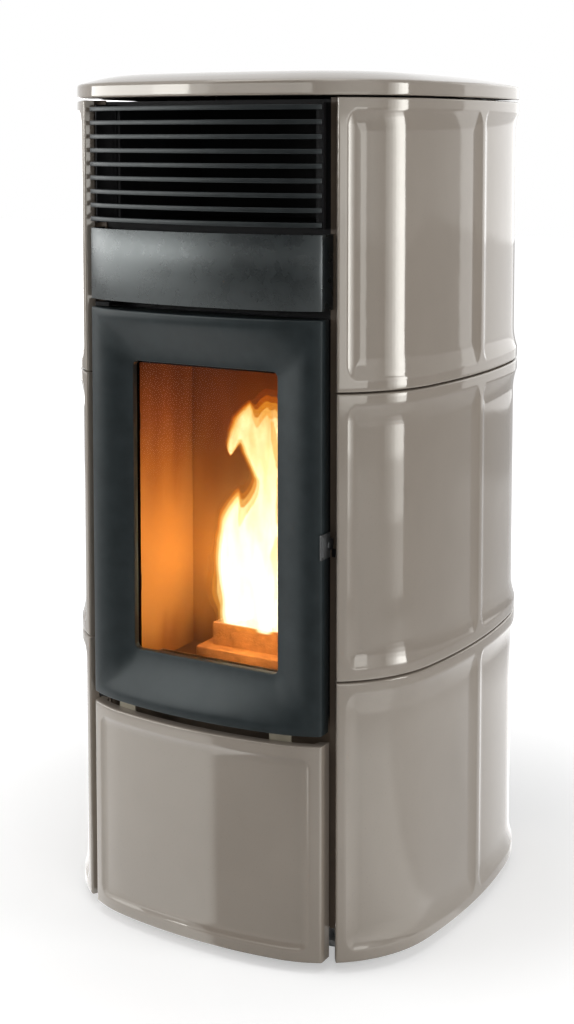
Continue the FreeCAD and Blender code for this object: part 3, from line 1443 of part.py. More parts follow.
def hopper():
    """Bin with a funnel, a square neck on the auger tube and two ears on the rear panel."""
    middle = neck_centre()

    def body(shrink, top):
        half = HOPPER_HALF_WIDTH - shrink
        front = HOPPER_FRONT + shrink
        back = HOPPER_BACK - shrink
        bin_part = box(-half, half, front, back, HOPPER_STRAIGHT_LOW, top)
        neck_half = NECK_HALF - shrink
        funnel = Part.makeLoft([
            rectangle(half, front, back, HOPPER_STRAIGHT_LOW),
            rectangle(neck_half, middle - neck_half, middle + neck_half, neck_top),
        ], True, True)
        return fused([bin_part, funnel, neck_box(shrink).common(upper_half_of_auger())])

    shell = body(0.0, hopper_top).cut(body(HOPPER_SHEET, hopper_top + OVERRUN))
    far = AUGER_LENGTH + AUGER_CAP
    shell = shell.cut(on_auger(rod(AUGER_TUBE_RADIUS + SEAT_GAP, up(-AUGER_TUBE_RADIUS), up(far))))
    ear = box(
        HOPPER_EAR_X - HOPPER_EAR_WIDTH / 2, HOPPER_EAR_X + HOPPER_EAR_WIDTH / 2, HOPPER_BACK, rear_inner,
        HOPPER_EAR_HEIGHT, HOPPER_EAR_HEIGHT + HOPPER_SHEET,
    )
    return fused([shell] + both_sides(ear))


def hopper_grid():
    half = HOPPER_HALF_WIDTH - HOPPER_SHEET - SEAT_GAP
    front = HOPPER_FRONT + HOPPER_SHEET + SEAT_GAP
    back = HOPPER_BACK - HOPPER_SHEET - SEAT_GAP
    low = hopper_top - GRID_DROP
    bounds = (-half, half, front, back, low, low + GRID_BAR)
    grid = box(*bounds).cut(hollow(bounds, GRID_BAR, ("top", "bottom")))
    step = (back - front) / (GRID_BARS + 1)
    bars = [box(
        -half, half, front + number * step, front + number * step + GRID_BAR, low, low + GRID_BAR
    ) for number in range(1, GRID_BARS + 1)]
    return fused([grid] + bars)


# Room fan

def room_point(x):
    return V(x, ROOM_FAN_DEPTH, ROOM_FAN_HEIGHT)


def room_fan_housing():
    half = ROOM_FAN_HALF_WIDTH
    front = ROOM_FAN_DEPTH - ROOM_FAN_BODY / 2
    back = ROOM_FAN_DEPTH + ROOM_FAN_BODY / 2
    low = ROOM_FAN_HEIGHT - ROOM_FAN_BELOW
    high = ROOM_FAN_HEIGHT + ROOM_FAN_ABOVE
    body = box(-half, half, front, back, low, high)
    leg = box(
        ROOM_FAN_LEG_X, ROOM_FAN_LEG_X + ROOM_FAN_LEG, front + ROOM_FAN_LEG, back - ROOM_FAN_LEG,
        base_top, low,
    )
    body = fused([body] + both_sides(leg))
    inside = half - ROOM_FAN_PLATE
    body = body.cut(rod(ROOM_FAN_BORE, room_point(-inside), room_point(inside)))
    port = ROOM_FAN_PORT / 2
    body = body.cut(box(
        -inside, inside, front - OVERRUN, ROOM_FAN_DEPTH, ROOM_FAN_HEIGHT - port, ROOM_FAN_HEIGHT + port
    ))
    body = body.cut(box(
        -inside, inside, ROOM_FAN_DEPTH, ROOM_FAN_DEPTH + ROOM_FAN_PORT, ROOM_FAN_HEIGHT, high + OVERRUN
    ))
    bore = ROOM_SHAFT_RADIUS + RUNNING_GAP
    return body.cut(rod(bore, room_point(-half - OVERRUN), room_point(half + OVERRUN)))


def room_fan_wheel():
    end = ROOM_FAN_HALF_WIDTH - ROOM_FAN_PLATE - ROOM_WHEEL_END_GAP
    shaft_end = ROOM_FAN_HALF_WIDTH + ROOM_MOTOR_LENGTH / 2
    pieces = [rod(ROOM_SHAFT_RADIUS, room_point(-ROOM_FAN_HALF_WIDTH), room_point(shaft_end))]
    for start in (-end, end - ROOM_WHEEL_DISC):
        pieces.append(rod(ROOM_WHEEL_RADIUS, room_point(start), room_point(start + ROOM_WHEEL_DISC)))
    half = ROOM_WHEEL_BLADE / 2
    top = ROOM_FAN_HEIGHT + ROOM_WHEEL_RADIUS - half
    for number in range(ROOM_WHEEL_BLADES):
        blade = box(
            -end, end, ROOM_FAN_DEPTH - half, ROOM_FAN_DEPTH + half, top - ROOM_WHEEL_BLADE_DEPTH, top
        )
        blade.rotate(room_point(0), V(1, 0, 0), number * 360.0 / ROOM_WHEEL_BLADES)
        pieces.append(blade)
    return fused(pieces)


def room_fan_motor():
    start = room_point(ROOM_FAN_HALF_WIDTH)
    end = room_point(ROOM_FAN_HALF_WIDTH + ROOM_MOTOR_LENGTH)
    stop = room_point(ROOM_FAN_HALF_WIDTH + ROOM_MOTOR_LENGTH / 2 + SEAT_GAP)
    bore = ROOM_SHAFT_RADIUS + RUNNING_GAP
    return rod(ROOM_MOTOR_RADIUS, start, end).cut(rod(bore, start, stop))


# Electrics

def board_bracket():
    """Upright plate on the base, with four standoffs for the control board."""
    back = BOARD_FRONT + BOARD_LENGTH
    plate = box(
        BOARD_BRACKET_X, BOARD_BRACKET_X + SHEET, BOARD_FRONT, back, base_top, BOARD_LOW + BOARD_HEIGHT
    )
    foot = box(BOARD_BRACKET_X - BOARD_FOOT, BOARD_BRACKET_X, BOARD_FRONT, back, base_top, base_top + SHEET)
    pieces = [plate, foot]
    for y in (BOARD_FRONT + BOARD_CORNER, back - BOARD_CORNER):
        for z in (BOARD_LOW + BOARD_CORNER, BOARD_LOW + BOARD_HEIGHT - BOARD_CORNER):
            pieces.append(rod(
                BOARD_STANDOFF_RADIUS, V(BOARD_BRACKET_X - BOARD_STANDOFF, y, z), V(BOARD_BRACKET_X, y, z)
            ))
    return fused(pieces)


def control_board():
    """Board with its transformer, relays and terminal strip."""
    back_face = BOARD_BRACKET_X - BOARD_STANDOFF
    face = back_face - BOARD_THICK
    pieces = [box(
        face, back_face, BOARD_FRONT, BOARD_FRONT + BOARD_LENGTH, BOARD_LOW, BOARD_LOW + BOARD_HEIGHT
    )]
    blocks = (
        (BOARD_CORNER * 2, BOARD_CORNER * 2, 44.0, 36.0, 30.0),
        (BOARD_CORNER * 9, BOARD_CORNER * 2, 18.0, 30.0, 16.0),
        (BOARD_CORNER * 12, BOARD_CORNER * 2, 18.0, 30.0, 16.0),
        (BOARD_CORNER * 2, BOARD_HEIGHT - BOARD_CORNER * 4, BOARD_LENGTH - BOARD_CORNER * 4, 12.0, 12.0),
    )
    for along, above, length, tall, thick in blocks:
        y = BOARD_FRONT + along
        z = BOARD_LOW + above
        pieces.append(box(face - thick, face, y, y + length, z, z + tall))
    return fused(pieces)


def rocker_pivot(x):
    return V(x, body_depth - ROCKER_SINK, INLET_HEIGHT)


def power_inlet():
    """Plug inlet and switch body in one moulding, clipped in the rear panel."""
    half_wide = INLET_WIDTH / 2
    half_tall = INLET_TALL / 2
    outside = body_depth + INLET_FLANGE_THICK
    body = box(
        INLET_X - half_wide, INLET_X + half_wide, body_depth - INLET_DEEP, body_depth,
        INLET_HEIGHT - half_tall, INLET_HEIGHT + half_tall,
    )
    lap = INLET_FLANGE
    flange = box(
        INLET_X - half_wide - lap, INLET_X + half_wide + lap, body_depth, outside,
        INLET_HEIGHT - half_tall - lap, INLET_HEIGHT + half_tall + lap,
    )
    body = fused([body, flange])
    socket_x = INLET_X - SOCKET_OFFSET
    body = body.cut(box(
        socket_x - SOCKET_WIDTH / 2, socket_x + SOCKET_WIDTH / 2, outside - SOCKET_DEEP, outside + OVERRUN,
        INLET_HEIGHT - SOCKET_TALL / 2, INLET_HEIGHT + SOCKET_TALL / 2,
    ))
    rocker_x = INLET_X + ROCKER_OFFSET
    half = ROCKER_WIDTH / 2 + ROCKER_AIR
    tall = ROCKER_TALL / 2 + ROCKER_SWING_AIR
    floor = body_depth - ROCKER_SINK - ROCKER_DEEP - ROCKER_SWING_AIR
    body = body.cut(box(
        rocker_x - half, rocker_x + half, floor, outside + OVERRUN, INLET_HEIGHT - tall, INLET_HEIGHT + tall
    ))
    reach = ROCKER_WIDTH / 2 + ROCKER_PIN_LENGTH + SEAT_GAP
    return body.cut(rod(
        ROCKER_PIN_RADIUS + RUNNING_GAP, rocker_pivot(rocker_x - reach), rocker_pivot(rocker_x + reach)
    ))


def power_rocker():
    rocker_x = INLET_X + ROCKER_OFFSET
    half = ROCKER_WIDTH / 2
    tall = ROCKER_TALL / 2
    pivot = rocker_pivot(rocker_x)
    block = box(
        rocker_x - half, rocker_x + half, pivot.y - ROCKER_DEEP / 2, pivot.y + ROCKER_PROUD + ROCKER_SINK,
        pivot.z - tall, pivot.z + tall,
    )
    reach = half + ROCKER_PIN_LENGTH
    pin = rod(ROCKER_PIN_RADIUS, rocker_pivot(rocker_x - reach), rocker_pivot(rocker_x + reach))
    rocker = fused([block, pin])
    rocker.rotate(pivot, V(1, 0, 0), ROCKER_TILT_ANGLE)
    return rocker


# Write every piece

os.makedirs("parts", exist_ok=True)

for row, level in enumerate(("lower", "middle", "upper")):
    tile = side_tile(row)
    export("right_" + level + "_tile", tile)
    export("left_" + level + "_tile", mirrored(tile))

carrier = side_carrier()
export("right_side_carrier", carrier)
export("left_side_carrier", mirrored(carrier))

PIECES = (
    lower_front_panel, panel_brackets, tile_hooks, base_plate, levelling_feet, rear_panel,
    top_cover, lid_hinge_mounts, hopper_lid, lid_seal,
    door_frame, door_glass, glass_seal, glass_clips, door_seal, door_hinge_brackets, door_latch, latch_keeper,
    front_frame, fascia_panel, grille_slats, grille_posts, air_plenum,
    firebox_shell, side_linings, back_lining, baffle_plate, exchanger_box, exchanger_tubes,
    smoke_duct, smoke_fan_housing, smoke_fan_wheel, smoke_fan_motor, flue_spigot, air_intake_pipe,
    brazier_holder, brazier, ash_pan, igniter,
    auger_tube, auger_screw, auger_motor, pellet_chute, hopper, hopper_grid,
    room_fan_housing, room_fan_wheel, room_fan_motor,
    board_bracket, control_board, power_inlet, power_rocker,
)
for make in PIECES:
    export(make.__name__, make())
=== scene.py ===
# %% [markdown]
# # A pellet stove with curved ceramic tiles
# The construction model comes in as a fixed frame: every piece already has its place, its size and
# its joint. This script gives that frame its looks. The glazed tiles, the cover, the cast door and
# the other pieces in view are modelled again with soft edges and true curves, every other piece gets
# a material, and a small fire burns behind the glass.

# %% Load the frame
import math
import random

import bmesh
import bpy
from mathutils import Matrix, Vector, noise


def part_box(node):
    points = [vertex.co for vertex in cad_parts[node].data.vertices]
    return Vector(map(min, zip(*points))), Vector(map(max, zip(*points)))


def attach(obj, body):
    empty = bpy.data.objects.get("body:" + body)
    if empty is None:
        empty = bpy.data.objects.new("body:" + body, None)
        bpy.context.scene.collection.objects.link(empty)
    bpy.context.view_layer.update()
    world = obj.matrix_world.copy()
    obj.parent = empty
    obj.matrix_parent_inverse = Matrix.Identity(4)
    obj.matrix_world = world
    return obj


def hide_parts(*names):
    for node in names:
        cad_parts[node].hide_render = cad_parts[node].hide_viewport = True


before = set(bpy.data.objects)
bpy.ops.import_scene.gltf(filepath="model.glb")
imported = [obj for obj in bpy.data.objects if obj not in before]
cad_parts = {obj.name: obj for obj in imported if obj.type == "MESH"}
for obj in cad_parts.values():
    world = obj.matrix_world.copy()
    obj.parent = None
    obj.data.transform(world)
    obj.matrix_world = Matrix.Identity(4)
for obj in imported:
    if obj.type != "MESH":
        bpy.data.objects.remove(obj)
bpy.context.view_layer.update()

# %% [markdown]
# ## The outline that everything follows
# Seen from above, the stove is one smooth outline made of four arcs on each side: a nearly flat
# front, a tight front corner, a nearly flat side and a rounder rear corner. The door, the slats, the
# tiles and the cover all follow it. So a piece is first modelled flat, with its length along the
# outline, its depth inward and its height, and is then bent round. That is also how a press or a
# tile mould gives the real pieces their curve.

# %% Outline helpers
ARCS = ((0.708, 0.0, 9.9), (0.179, 9.9, 80.1), (0.848, 80.1, 97.7), (0.230, 97.7, 135.0))
FRONT_Y = -0.297518
OUTLINE_LENGTH = sum(radius * math.radians(end - start) for radius, start, end in ARCS)


def on_outline(length, depth, height):
    """Point at a length along the outline from the front's middle, a depth inward and a height."""
    rest = abs(length)
    x = y = stop = 0.0
    for radius, start, end in ARCS:
        turn = math.radians(start)
        run = min(rest, radius * math.radians(end - start))
        stop = turn + run / radius
        x += radius * (math.sin(stop) - math.sin(turn))
        y += radius * (math.cos(turn) - math.cos(stop))
        rest -= run
        if rest <= 0.0:
            break
    x -= depth * math.sin(stop)
    y += depth * math.cos(stop)
    return Vector((math.copysign(x, length), FRONT_Y + y, height))


def length_at(test, depth=0.0):
    """Length along the outline where a rising test of the point at a depth passes zero."""
    low, high = 0.0, OUTLINE_LENGTH
    for _ in range(40):
        middle = (low + high) / 2
        if test(on_outline(middle, depth, 0.0)) < 0.0:
            low = middle
        else:
            high = middle
    return low


def front_depth(x):
    """How far the outline lies behind its foremost point at a width x of the front."""
    radius, _, angle = ARCS[0]
    corner = ARCS[1][0]
    turn = math.radians(angle)
    if abs(x) <= radius * math.sin(turn):
        return radius - math.sqrt(radius ** 2 - x ** 2)
    centre_x = (radius - corner) * math.sin(turn)
    centre_y = radius - (radius - corner) * math.cos(turn)
    return centre_y - math.sqrt(corner ** 2 - (abs(x) - centre_x) ** 2)


def bend(bm):
    """Bends a flat mesh, with length in X, depth in Y and height in Z, round the outline."""
    for vert in bm.verts:
        vert.co = on_outline(*vert.co)


FRONT_HALF, TILE_EDGE_HALF = 0.176, 0.1925
FRONT_LENGTH = length_at(lambda point: point.x - FRONT_HALF)
TILE_START = length_at(lambda point: point.x - TILE_EDGE_HALF)
print("outline, front, start of a tile:", OUTLINE_LENGTH, FRONT_LENGTH, TILE_START)

# %% [markdown]
# ## Materials
# Every finish is built from nodes on the object's own coordinates, so that a grain of paint or a
# spot in the glaze keeps its real size and stays where it is when a door swings. A noise texture
# spreads a base colour between two close shades, another one moves the roughness a little, and a
# bump gives the surface its fine relief.

# %% Material helpers


def new_material(name):
    """A node material with its main shader and its object coordinates."""
    material = bpy.data.materials.new(name)
    material.use_nodes = True
    nodes = material.node_tree.nodes
    shader = nodes["Principled BSDF"]
    place = nodes.new("ShaderNodeTexCoord")
    return material, shader, place.outputs["Object"]


def add_node(owner, kind, inputs=None, **settings):
    """Adds a node to a material or a world, sets its properties, and sets or links its inputs."""
    tree = owner.node_tree
    node = tree.nodes.new(kind)
    for key, value in settings.items():
        setattr(node, key, value)
    for key, value in (inputs or {}).items():
        if isinstance(value, bpy.types.NodeSocket):
            tree.links.new(value, node.inputs[key])
        else:
            node.inputs[key].default_value = value
    return node


def ramp(owner, factor, stops):
    """A colour ramp with the given (position, colour) stops."""
    node = add_node(owner, "ShaderNodeValToRGB", {"Fac": factor})
    elements = node.color_ramp.elements
    while len(elements) < len(stops):
        elements.new(0.5)
    for element, (position, colour) in zip(elements, stops):
        element.position = position
        element.color = colour if len(colour) == 4 else (*colour, 1.0)
    return node.outputs["Color"]


def spread(material, factor, low, high):
    """Maps a factor from 0..1 to low..high."""
    node = add_node(material, "ShaderNodeMapRange", {"Value": factor, "To Min": low, "To Max": high})
    return node.outputs["Result"]


def combine(owner, operation, first, second):
    """A math node on two values."""
    return add_node(owner, "ShaderNodeMath", {0: first, 1: second}, operation=operation).outputs["Value"]


def connect(material, output, socket):
    material.node_tree.links.new(output, socket)


def paint(material, shader, factor, stops):
    """Colours a shader by a ramp over a factor."""
    connect(material, ramp(material, factor, stops), shader.inputs["Base Color"])


def roughen(material, shader, factor, low, high):
    """Spreads the roughness of a shader from low to high over a factor."""
    connect(material, spread(material, factor, low, high), shader.inputs["Roughness"])


def noise_of(material, place, scale, detail=4.0, roughness=0.5):
    node = add_node(material, "ShaderNodeTexNoise", {
        "Vector": place, "Scale": scale, "Detail": detail, "Roughness": roughness,
    })
    return node.outputs["Fac"]


def bump(material, shader, height, strength, distance):
    node = add_node(material, "ShaderNodeBump", {
        "Height": height, "Strength": strength, "Distance": distance,
    })
    connect(material, node.outputs["Normal"], shader.inputs["Normal"])


def shade(colour, factor):
    return tuple(min(1.0, part * factor) for part in colour)


def speckled(name, colour, vary, patch, rough, grain, relief, metallic=0.0, specular=0.5):
    """A finish with slow patches of two shades and of gloss, and a fine grain that stands in relief."""
    material, shader, place = new_material(name)
    slow = noise_of(material, place, patch, 3.0)
    paint(material, shader, slow, [(0.3, shade(colour, 1.0 - vary)), (0.7, shade(colour, 1.0 + vary))])
    roughen(material, shader, slow, *rough)
    fine = noise_of(material, place, grain, 5.0, 0.6)
    bump(material, shader, fine, 1.0, relief)
    shader.inputs["Metallic"].default_value = metallic
    shader.inputs["Specular IOR Level"].default_value = specular
    return material


# %% [markdown]
# ### Glaze
# The tiles are fired clay under a warm taupe glaze. A glaze is glass: it has a sharp, clear gloss
# over a body colour that is never quite even, with faint clouds and tiny dark specks where the clay
# shows through. A very shallow ripple stands for the way molten glaze levels out before it sets.

# %% Glaze material


def make_glaze():
    material, shader, place = new_material("taupe_glaze")
    clouds = noise_of(material, place, 6.0, 3.0)
    body = ramp(material, clouds, [(0.3, (0.252, 0.215, 0.178)), (0.7, (0.280, 0.241, 0.201))])
    dots = add_node(material, "ShaderNodeTexVoronoi", {"Vector": place, "Scale": 260.0})
    specks = ramp(material, dots.outputs["Distance"], [(0.05, (0.80, 0.79, 0.78)), (0.14, (1.0, 1.0, 1.0))])
    mixed = add_node(material, "ShaderNodeMix", data_type="RGBA", blend_type="MULTIPLY")
    mixed.inputs["Factor"].default_value = 1.0
    connect(material, body, mixed.inputs[6])
    connect(material, specks, mixed.inputs[7])
    connect(material, mixed.outputs[2], shader.inputs["Base Color"])
    ripple = noise_of(material, place, 38.0, 2.0)
    roughen(material, shader, ripple, 0.04, 0.09)
    bump(material, shader, ripple, 0.25, 0.0003)
    shader.inputs["Specular IOR Level"].default_value = 0.8
    shader.inputs["Specular Tint"].default_value = (1.0, 0.99, 0.93, 1.0)
    return material


glaze = make_glaze()
print("made", glaze.name)

# %% [markdown]
# ### Paints and metals
# The fascia, the slats and the door carry heat-proof paint in anthracite. The paint is sprayed on
# thin, so it follows the fine sand texture of the casting and breaks the light into a soft sheen. The
# sheet metal inside is zinc plated, with the crystal spangle that zinc shows when it cools. Most of
# these finishes differ only in a few values: colour, how much it varies, size of the patches, range
# of roughness, size of the grain, relief, metal and gloss. One function makes all of those.

# %% Paint and metal materials
anthracite = speckled(
    "anthracite_paint", (0.0100, 0.0125, 0.0135), 0.25, 60.0, (0.21, 0.35), 800.0, 0.00007, 0.0, 0.8)
door_iron = speckled(
    "door_iron", (0.0150, 0.0195, 0.0210), 0.18, 40.0, (0.30, 0.44), 1100.0, 0.00006, 0.0, 0.18)
# The slats take a darker, less glossy copy of the anthracite paint. Its darker colour is painted shade.
slat_paint_with_painted_shade = speckled(
    "slat_paint_with_painted_shade", (0.0085, 0.0105, 0.0115), 0.25, 55.0, (0.28, 0.42), 900.0, 0.00005, 0.0, 0.35)
black_paint = speckled(
    "black_paint", (0.0075, 0.0075, 0.008), 0.2, 20.0, (0.5, 0.7), 900.0, 0.0001, 0.0, 0.15)
rear_paint = speckled(
    "rear_paint", (0.015, 0.015, 0.016), 0.15, 12.0, (0.34, 0.52), 650.0, 0.00012, 0.0, 0.45)
brown_paint = speckled("brown_paint", (0.150, 0.112, 0.080), 0.12, 20.0, (0.45, 0.6), 900.0, 0.0001)
stove_steel = speckled("stove_steel", (0.030, 0.028, 0.027), 0.35, 18.0, (0.55, 0.8), 300.0, 0.0002, 0.3)
hearth_steel = speckled("hearth_steel", (0.150, 0.085, 0.048), 0.35, 25.0, (0.6, 0.85), 300.0, 0.0003, 0.1)
latch_steel = speckled("latch_steel", (0.085, 0.087, 0.088), 0.12, 60.0, (0.3, 0.45), 1200.0, 0.00004, 0.6)
motor_paint = speckled("motor_paint", (0.10, 0.10, 0.11), 0.12, 30.0, (0.35, 0.5), 800.0, 0.00008)
black_plastic = speckled("black_plastic", (0.018, 0.018, 0.019), 0.1, 40.0, (0.38, 0.5), 1500.0, 0.00006)
tab_zinc = speckled("tab_zinc", (0.30, 0.27, 0.205), 0.10, 70.0, (0.45, 0.6), 900.0, 0.00005, 0.3)
igniter_ceramic = speckled("igniter_ceramic", (0.74, 0.71, 0.66), 0.06, 50.0, (0.7, 0.85), 700.0, 0.0001)
COOL_GLOSS = (0.93, 1.0, 0.99, 1.0)
for finish in (anthracite, door_iron, slat_paint_with_painted_shade):
    finish.node_tree.nodes["Principled BSDF"].inputs["Specular Tint"].default_value = COOL_GLOSS


def make_zinc():
    material, shader, place = new_material("zinc_steel")
    cells = add_node(material, "ShaderNodeTexVoronoi", {"Vector": place, "Scale": 95.0, "Randomness": 0.9})
    tone = add_node(material, "ShaderNodeSeparateColor", {"Color": cells.outputs["Color"]}).outputs["Red"]
    paint(material, shader, tone, [(0.1, (0.40, 0.41, 0.41)), (0.9, (0.56, 0.56, 0.55))])
    roughen(material, shader, tone, 0.3, 0.48)
    bump(material, shader, noise_of(material, place, 500.0), 0.5, 0.0001)
    shader.inputs["Metallic"].default_value = 1.0
    return material


def make_resin():
    """Green coated circuit board with a faint lattice of copper tracks."""
    material, shader, place = new_material("board_resin")
    tracks = add_node(material, "ShaderNodeTexBrick", {
        "Vector": place, "Scale": 90.0, "Mortar Size": 0.03, "Mortar": (0.05, 0.19, 0.07, 1),
        "Color1": (0.012, 0.085, 0.030, 1), "Color2": (0.016, 0.11, 0.04, 1),
    })
    connect(material, tracks.outputs["Color"], shader.inputs["Base Color"])
    roughen(material, shader, noise_of(material, place, 200.0), 0.25, 0.4)
    bump(material, shader, tracks.outputs["Fac"], 0.4, 0.0001)
    return material


def make_rope():
    """Woven glass-fibre rope: two crossing sets of strands, dulled by soot."""
    material, shader, place = new_material("seal_rope")
    strands = add_node(material, "ShaderNodeTexWave", {
        "Vector": place, "Scale": 160.0, "Distortion": 2.0, "Detail": 2.0,
    }, bands_direction="DIAGONAL")
    paint(material, shader, strands.outputs["Fac"], [(0.1, (0.07, 0.066, 0.06)), (0.9, (0.2, 0.19, 0.175))])
    bump(material, shader, strands.outputs["Fac"], 0.8, 0.0008)
    roughen(material, shader, strands.outputs["Fac"], 0.95, 0.8)
    return material


CLEAR_HALF, CLEAR_LOW, CLEAR_HIGH = 0.1099, 0.3765, 0.7662


def make_glass():
    """Clear heat-proof glass with a breath of soot and a narrow black border, part print and part painted
    shade on the window's shaded edges.
    """
    material, shader, place = new_material("window_glass")
    haze = noise_of(material, place, 5.0, 3.0)
    paint(material, shader, haze, [(0.35, (0.004, 0.003, 0.002)), (0.7, (0.010, 0.007, 0.005))])
    centre = (0.0, 0.0, -(CLEAR_LOW + CLEAR_HIGH) / 2)
    half_height = (CLEAR_HIGH - CLEAR_LOW) / 2
    moved = add_node(material, "ShaderNodeVectorMath", {0: place, 1: centre}, operation="ADD")
    far = add_node(material, "ShaderNodeVectorMath", {0: moved.outputs["Vector"]}, operation="ABSOLUTE")
    reach = add_node(material, "ShaderNodeSeparateXYZ", {"Vector": far.outputs["Vector"]})
    # The black border is partly print and partly painted shade: it darkens the window's edges, where the
    # door's return and the firebox top lie in shade.
    across = combine(material, "GREATER_THAN", reach.outputs["X"], CLEAR_HALF)
    up = combine(material, "GREATER_THAN", reach.outputs["Z"], half_height)
    border_print_and_painted_shade = combine(material, "MAXIMUM", across, up)
    cover = combine(material, "MAXIMUM", border_print_and_painted_shade, spread(material, haze, 0.30, 0.40))
    connect(material, cover, shader.inputs["Alpha"])
    shader.inputs["Roughness"].default_value = 0.03
    shader.inputs["Specular IOR Level"].default_value = 0.06
    return material


zinc = make_zinc()
board_resin = make_resin()
seal_rope = make_rope()
window_glass = make_glass()
print("materials so far:", len(bpy.data.materials))

# %% [markdown]
# ### Hot pieces
# The lining of the firebox is pressed vermiculite, a pale brick that the fire lights up. Its colour
# is darker towards the top, palest a little above the foot and darker again at the foot. The cast-iron
# fire pot is rough and rust brown from the heat. The height of a point drives a colour ramp, and a
# slow noise added to it keeps the dark edge from being a straight line.

# %% Lining and pot materials


def height_of(material, place, low, high):
    """0 at the low height and 1 at the high one."""
    split = add_node(material, "ShaderNodeSeparateXYZ", {"Vector": place})
    node = add_node(material, "ShaderNodeMapRange", {
        "Value": split.outputs["Z"], "From Min": low, "From Max": high,
    })
    return node.outputs["Result"]


def make_brick():
    material, shader, place = new_material("fire_brick")
    flakes = noise_of(material, place, 55.0, 6.0, 0.65)
    tall = add_node(material, "ShaderNodeMapping", {"Vector": place, "Scale": (3.0, 3.0, 0.6)})
    streaks = noise_of(material, tall.outputs["Vector"], 9.0, 3.0)
    level = height_of(material, place, 0.33, 0.80)
    uneven = combine(material, "ADD", level, spread(material, streaks, -0.16, 0.16))
    paint(material, shader, uneven, [
        (0.0, (0.30, 0.15, 0.06)), (0.14, (0.44, 0.27, 0.11)), (0.42, (0.48, 0.28, 0.11)),
        (0.72, (0.25, 0.105, 0.045)), (1.0, (0.10, 0.035, 0.018)),
    ])
    shader.inputs["Roughness"].default_value = 0.85
    bump(material, shader, flakes, 0.3, 0.0005)
    return material


fire_brick = make_brick()
pot_iron = speckled("pot_iron", (0.47, 0.27, 0.155), 0.35, 60.0, (0.55, 0.8), 260.0, 0.0016, 0.1)
print("materials so far:", len(bpy.data.materials))

# %% [markdown]
# ## From a mesh to a finished piece
# Each new piece ends the same way: stray double points are merged, the faces are turned outward,
# the surface is shaded smooth except at real edges, the piece gets its material and is hung on the
# body that carries it, and the construction nodes it stands for are hidden.

# %% Finish helpers


SHARP, MERGE = 40.0, 0.000002


def link_object(name, data):
    """An object in the scene for a mesh, a light or a camera."""
    made = bpy.data.objects.new(name, data)
    bpy.context.scene.collection.objects.link(made)
    return made


def link_mesh(name, bm):
    """An object in the scene that takes over a mesh."""
    mesh = bpy.data.meshes.new(name)
    bm.to_mesh(mesh)
    bm.free()
    return link_object(name, mesh)


def smooth(mesh, sharp=SHARP):
    """Shades a mesh smooth, except at edges that turn by more than an angle in degrees."""
    mesh.shade_smooth()
    mesh.set_sharp_from_angle(angle=math.radians(sharp))


def finish_piece(name, bm, material, body="stove", nodes=(), sharp=SHARP):
    """Turns a mesh into a piece that rides on a body."""
    bmesh.ops.remove_doubles(bm, verts=bm.verts[:], dist=MERGE)
    bmesh.ops.recalc_face_normals(bm, faces=bm.faces[:])
    piece = link_mesh(name, bm)
    mesh = piece.data
    smooth(mesh, sharp)
    mesh.materials.append(material)
    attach(piece, body)
    if nodes:
        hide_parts(*nodes)
    print(name, "faces:", len(mesh.polygons))
    return piece


def graded(marks, steps):
    """Positions that run through the marks, with a number of steps between each two."""
    positions = []
    for start, end, count in zip(marks, marks[1:], steps):
        positions += [start + (end - start) * number / count for number in range(count)]
    return positions + [marks[-1]]


def quarter_turn(steps, first=0):
    """Pairs of cosine and sine over a quarter turn, in equal steps, for a rounded edge."""
    angles = [math.pi / 2 * step / steps for step in range(first, steps + 1)]
    return [(math.cos(angle), math.sin(angle)) for angle in angles]


def new_verts(made):
    """The points among what an extrude operator made."""
    return [item for item in made["geom"] if isinstance(item, bmesh.types.BMVert)]


# %% [markdown]
# ## Tiles with sunken fields
# A side of the stove is three tiles high. Each tile wraps from the front corner to the back and has
# two sunken fields with a rib between them. Clay has no sharp edges: the border of a field drops
# from a soft rim and eases out into the floor like a cove, its corners are round, and the outer edge
# of the tile is rounded over. A grid gets rows close together where the surface turns, its points are
# sunk by a distance rule, the sheet is extruded to the clay's thickness, and then the whole tile is
# bent round the outline. The lower front panel is made the same way, but its ends are cut straight
# back, and it is thicker there, as a slab that hangs free needs a stiff edge.

# %% Tiles and lower front panel
CLAY = 0.014
EDGE = 0.0028


def sunk(along, up, field, slopes, corner):
    """0 outside a field and 1 on its floor: steep at the rim, then easing out like a cove."""
    start, end, low, high = field
    stretch = slopes[0] / slopes[1]
    across = abs(along - (start + end) / 2) - (end - start) / 2 + corner
    rise = (abs(up - (low + high) / 2) - (high - low) / 2) * stretch + corner
    outside = math.hypot(max(across, 0.0), max(rise, 0.0))
    inside = corner - outside - min(max(across, rise), 0.0)
    share = min(max(inside / slopes[0], 0.0), 1.0)
    return 1.0 - (1.0 - share) ** 2


def rounded_edge(distance):
    """Depth of a quarter-round edge at a distance from the rim."""
    rest = max(EDGE - distance, 0.0)
    return EDGE - math.sqrt(EDGE ** 2 - rest ** 2)


def relief_slab(lengths, heights, fields, recess, slopes, corner):
    """Flat slab with sunken fields; its lengths and heights are where its grid lines lie."""
    bm = bmesh.new()
    columns, rows = len(lengths) - 1, len(heights) - 1
    bmesh.ops.create_grid(bm, x_segments=columns, y_segments=rows, size=0.5)
    for vert in bm.verts:
        along = lengths[round((vert.co.x + 0.5) * columns)]
        up = heights[round((vert.co.y + 0.5) * rows)]
        margin = min(along - lengths[0], lengths[-1] - along, up - heights[0], heights[-1] - up)
        depth = rounded_edge(margin)
        for field in fields:
            depth += recess * sunk(along, up, field, slopes, corner)
        vert.co = (along, depth, up)
    for vert in new_verts(bmesh.ops.extrude_face_region(bm, geom=bm.faces[:])):
        vert.co.y = CLAY
    return bm


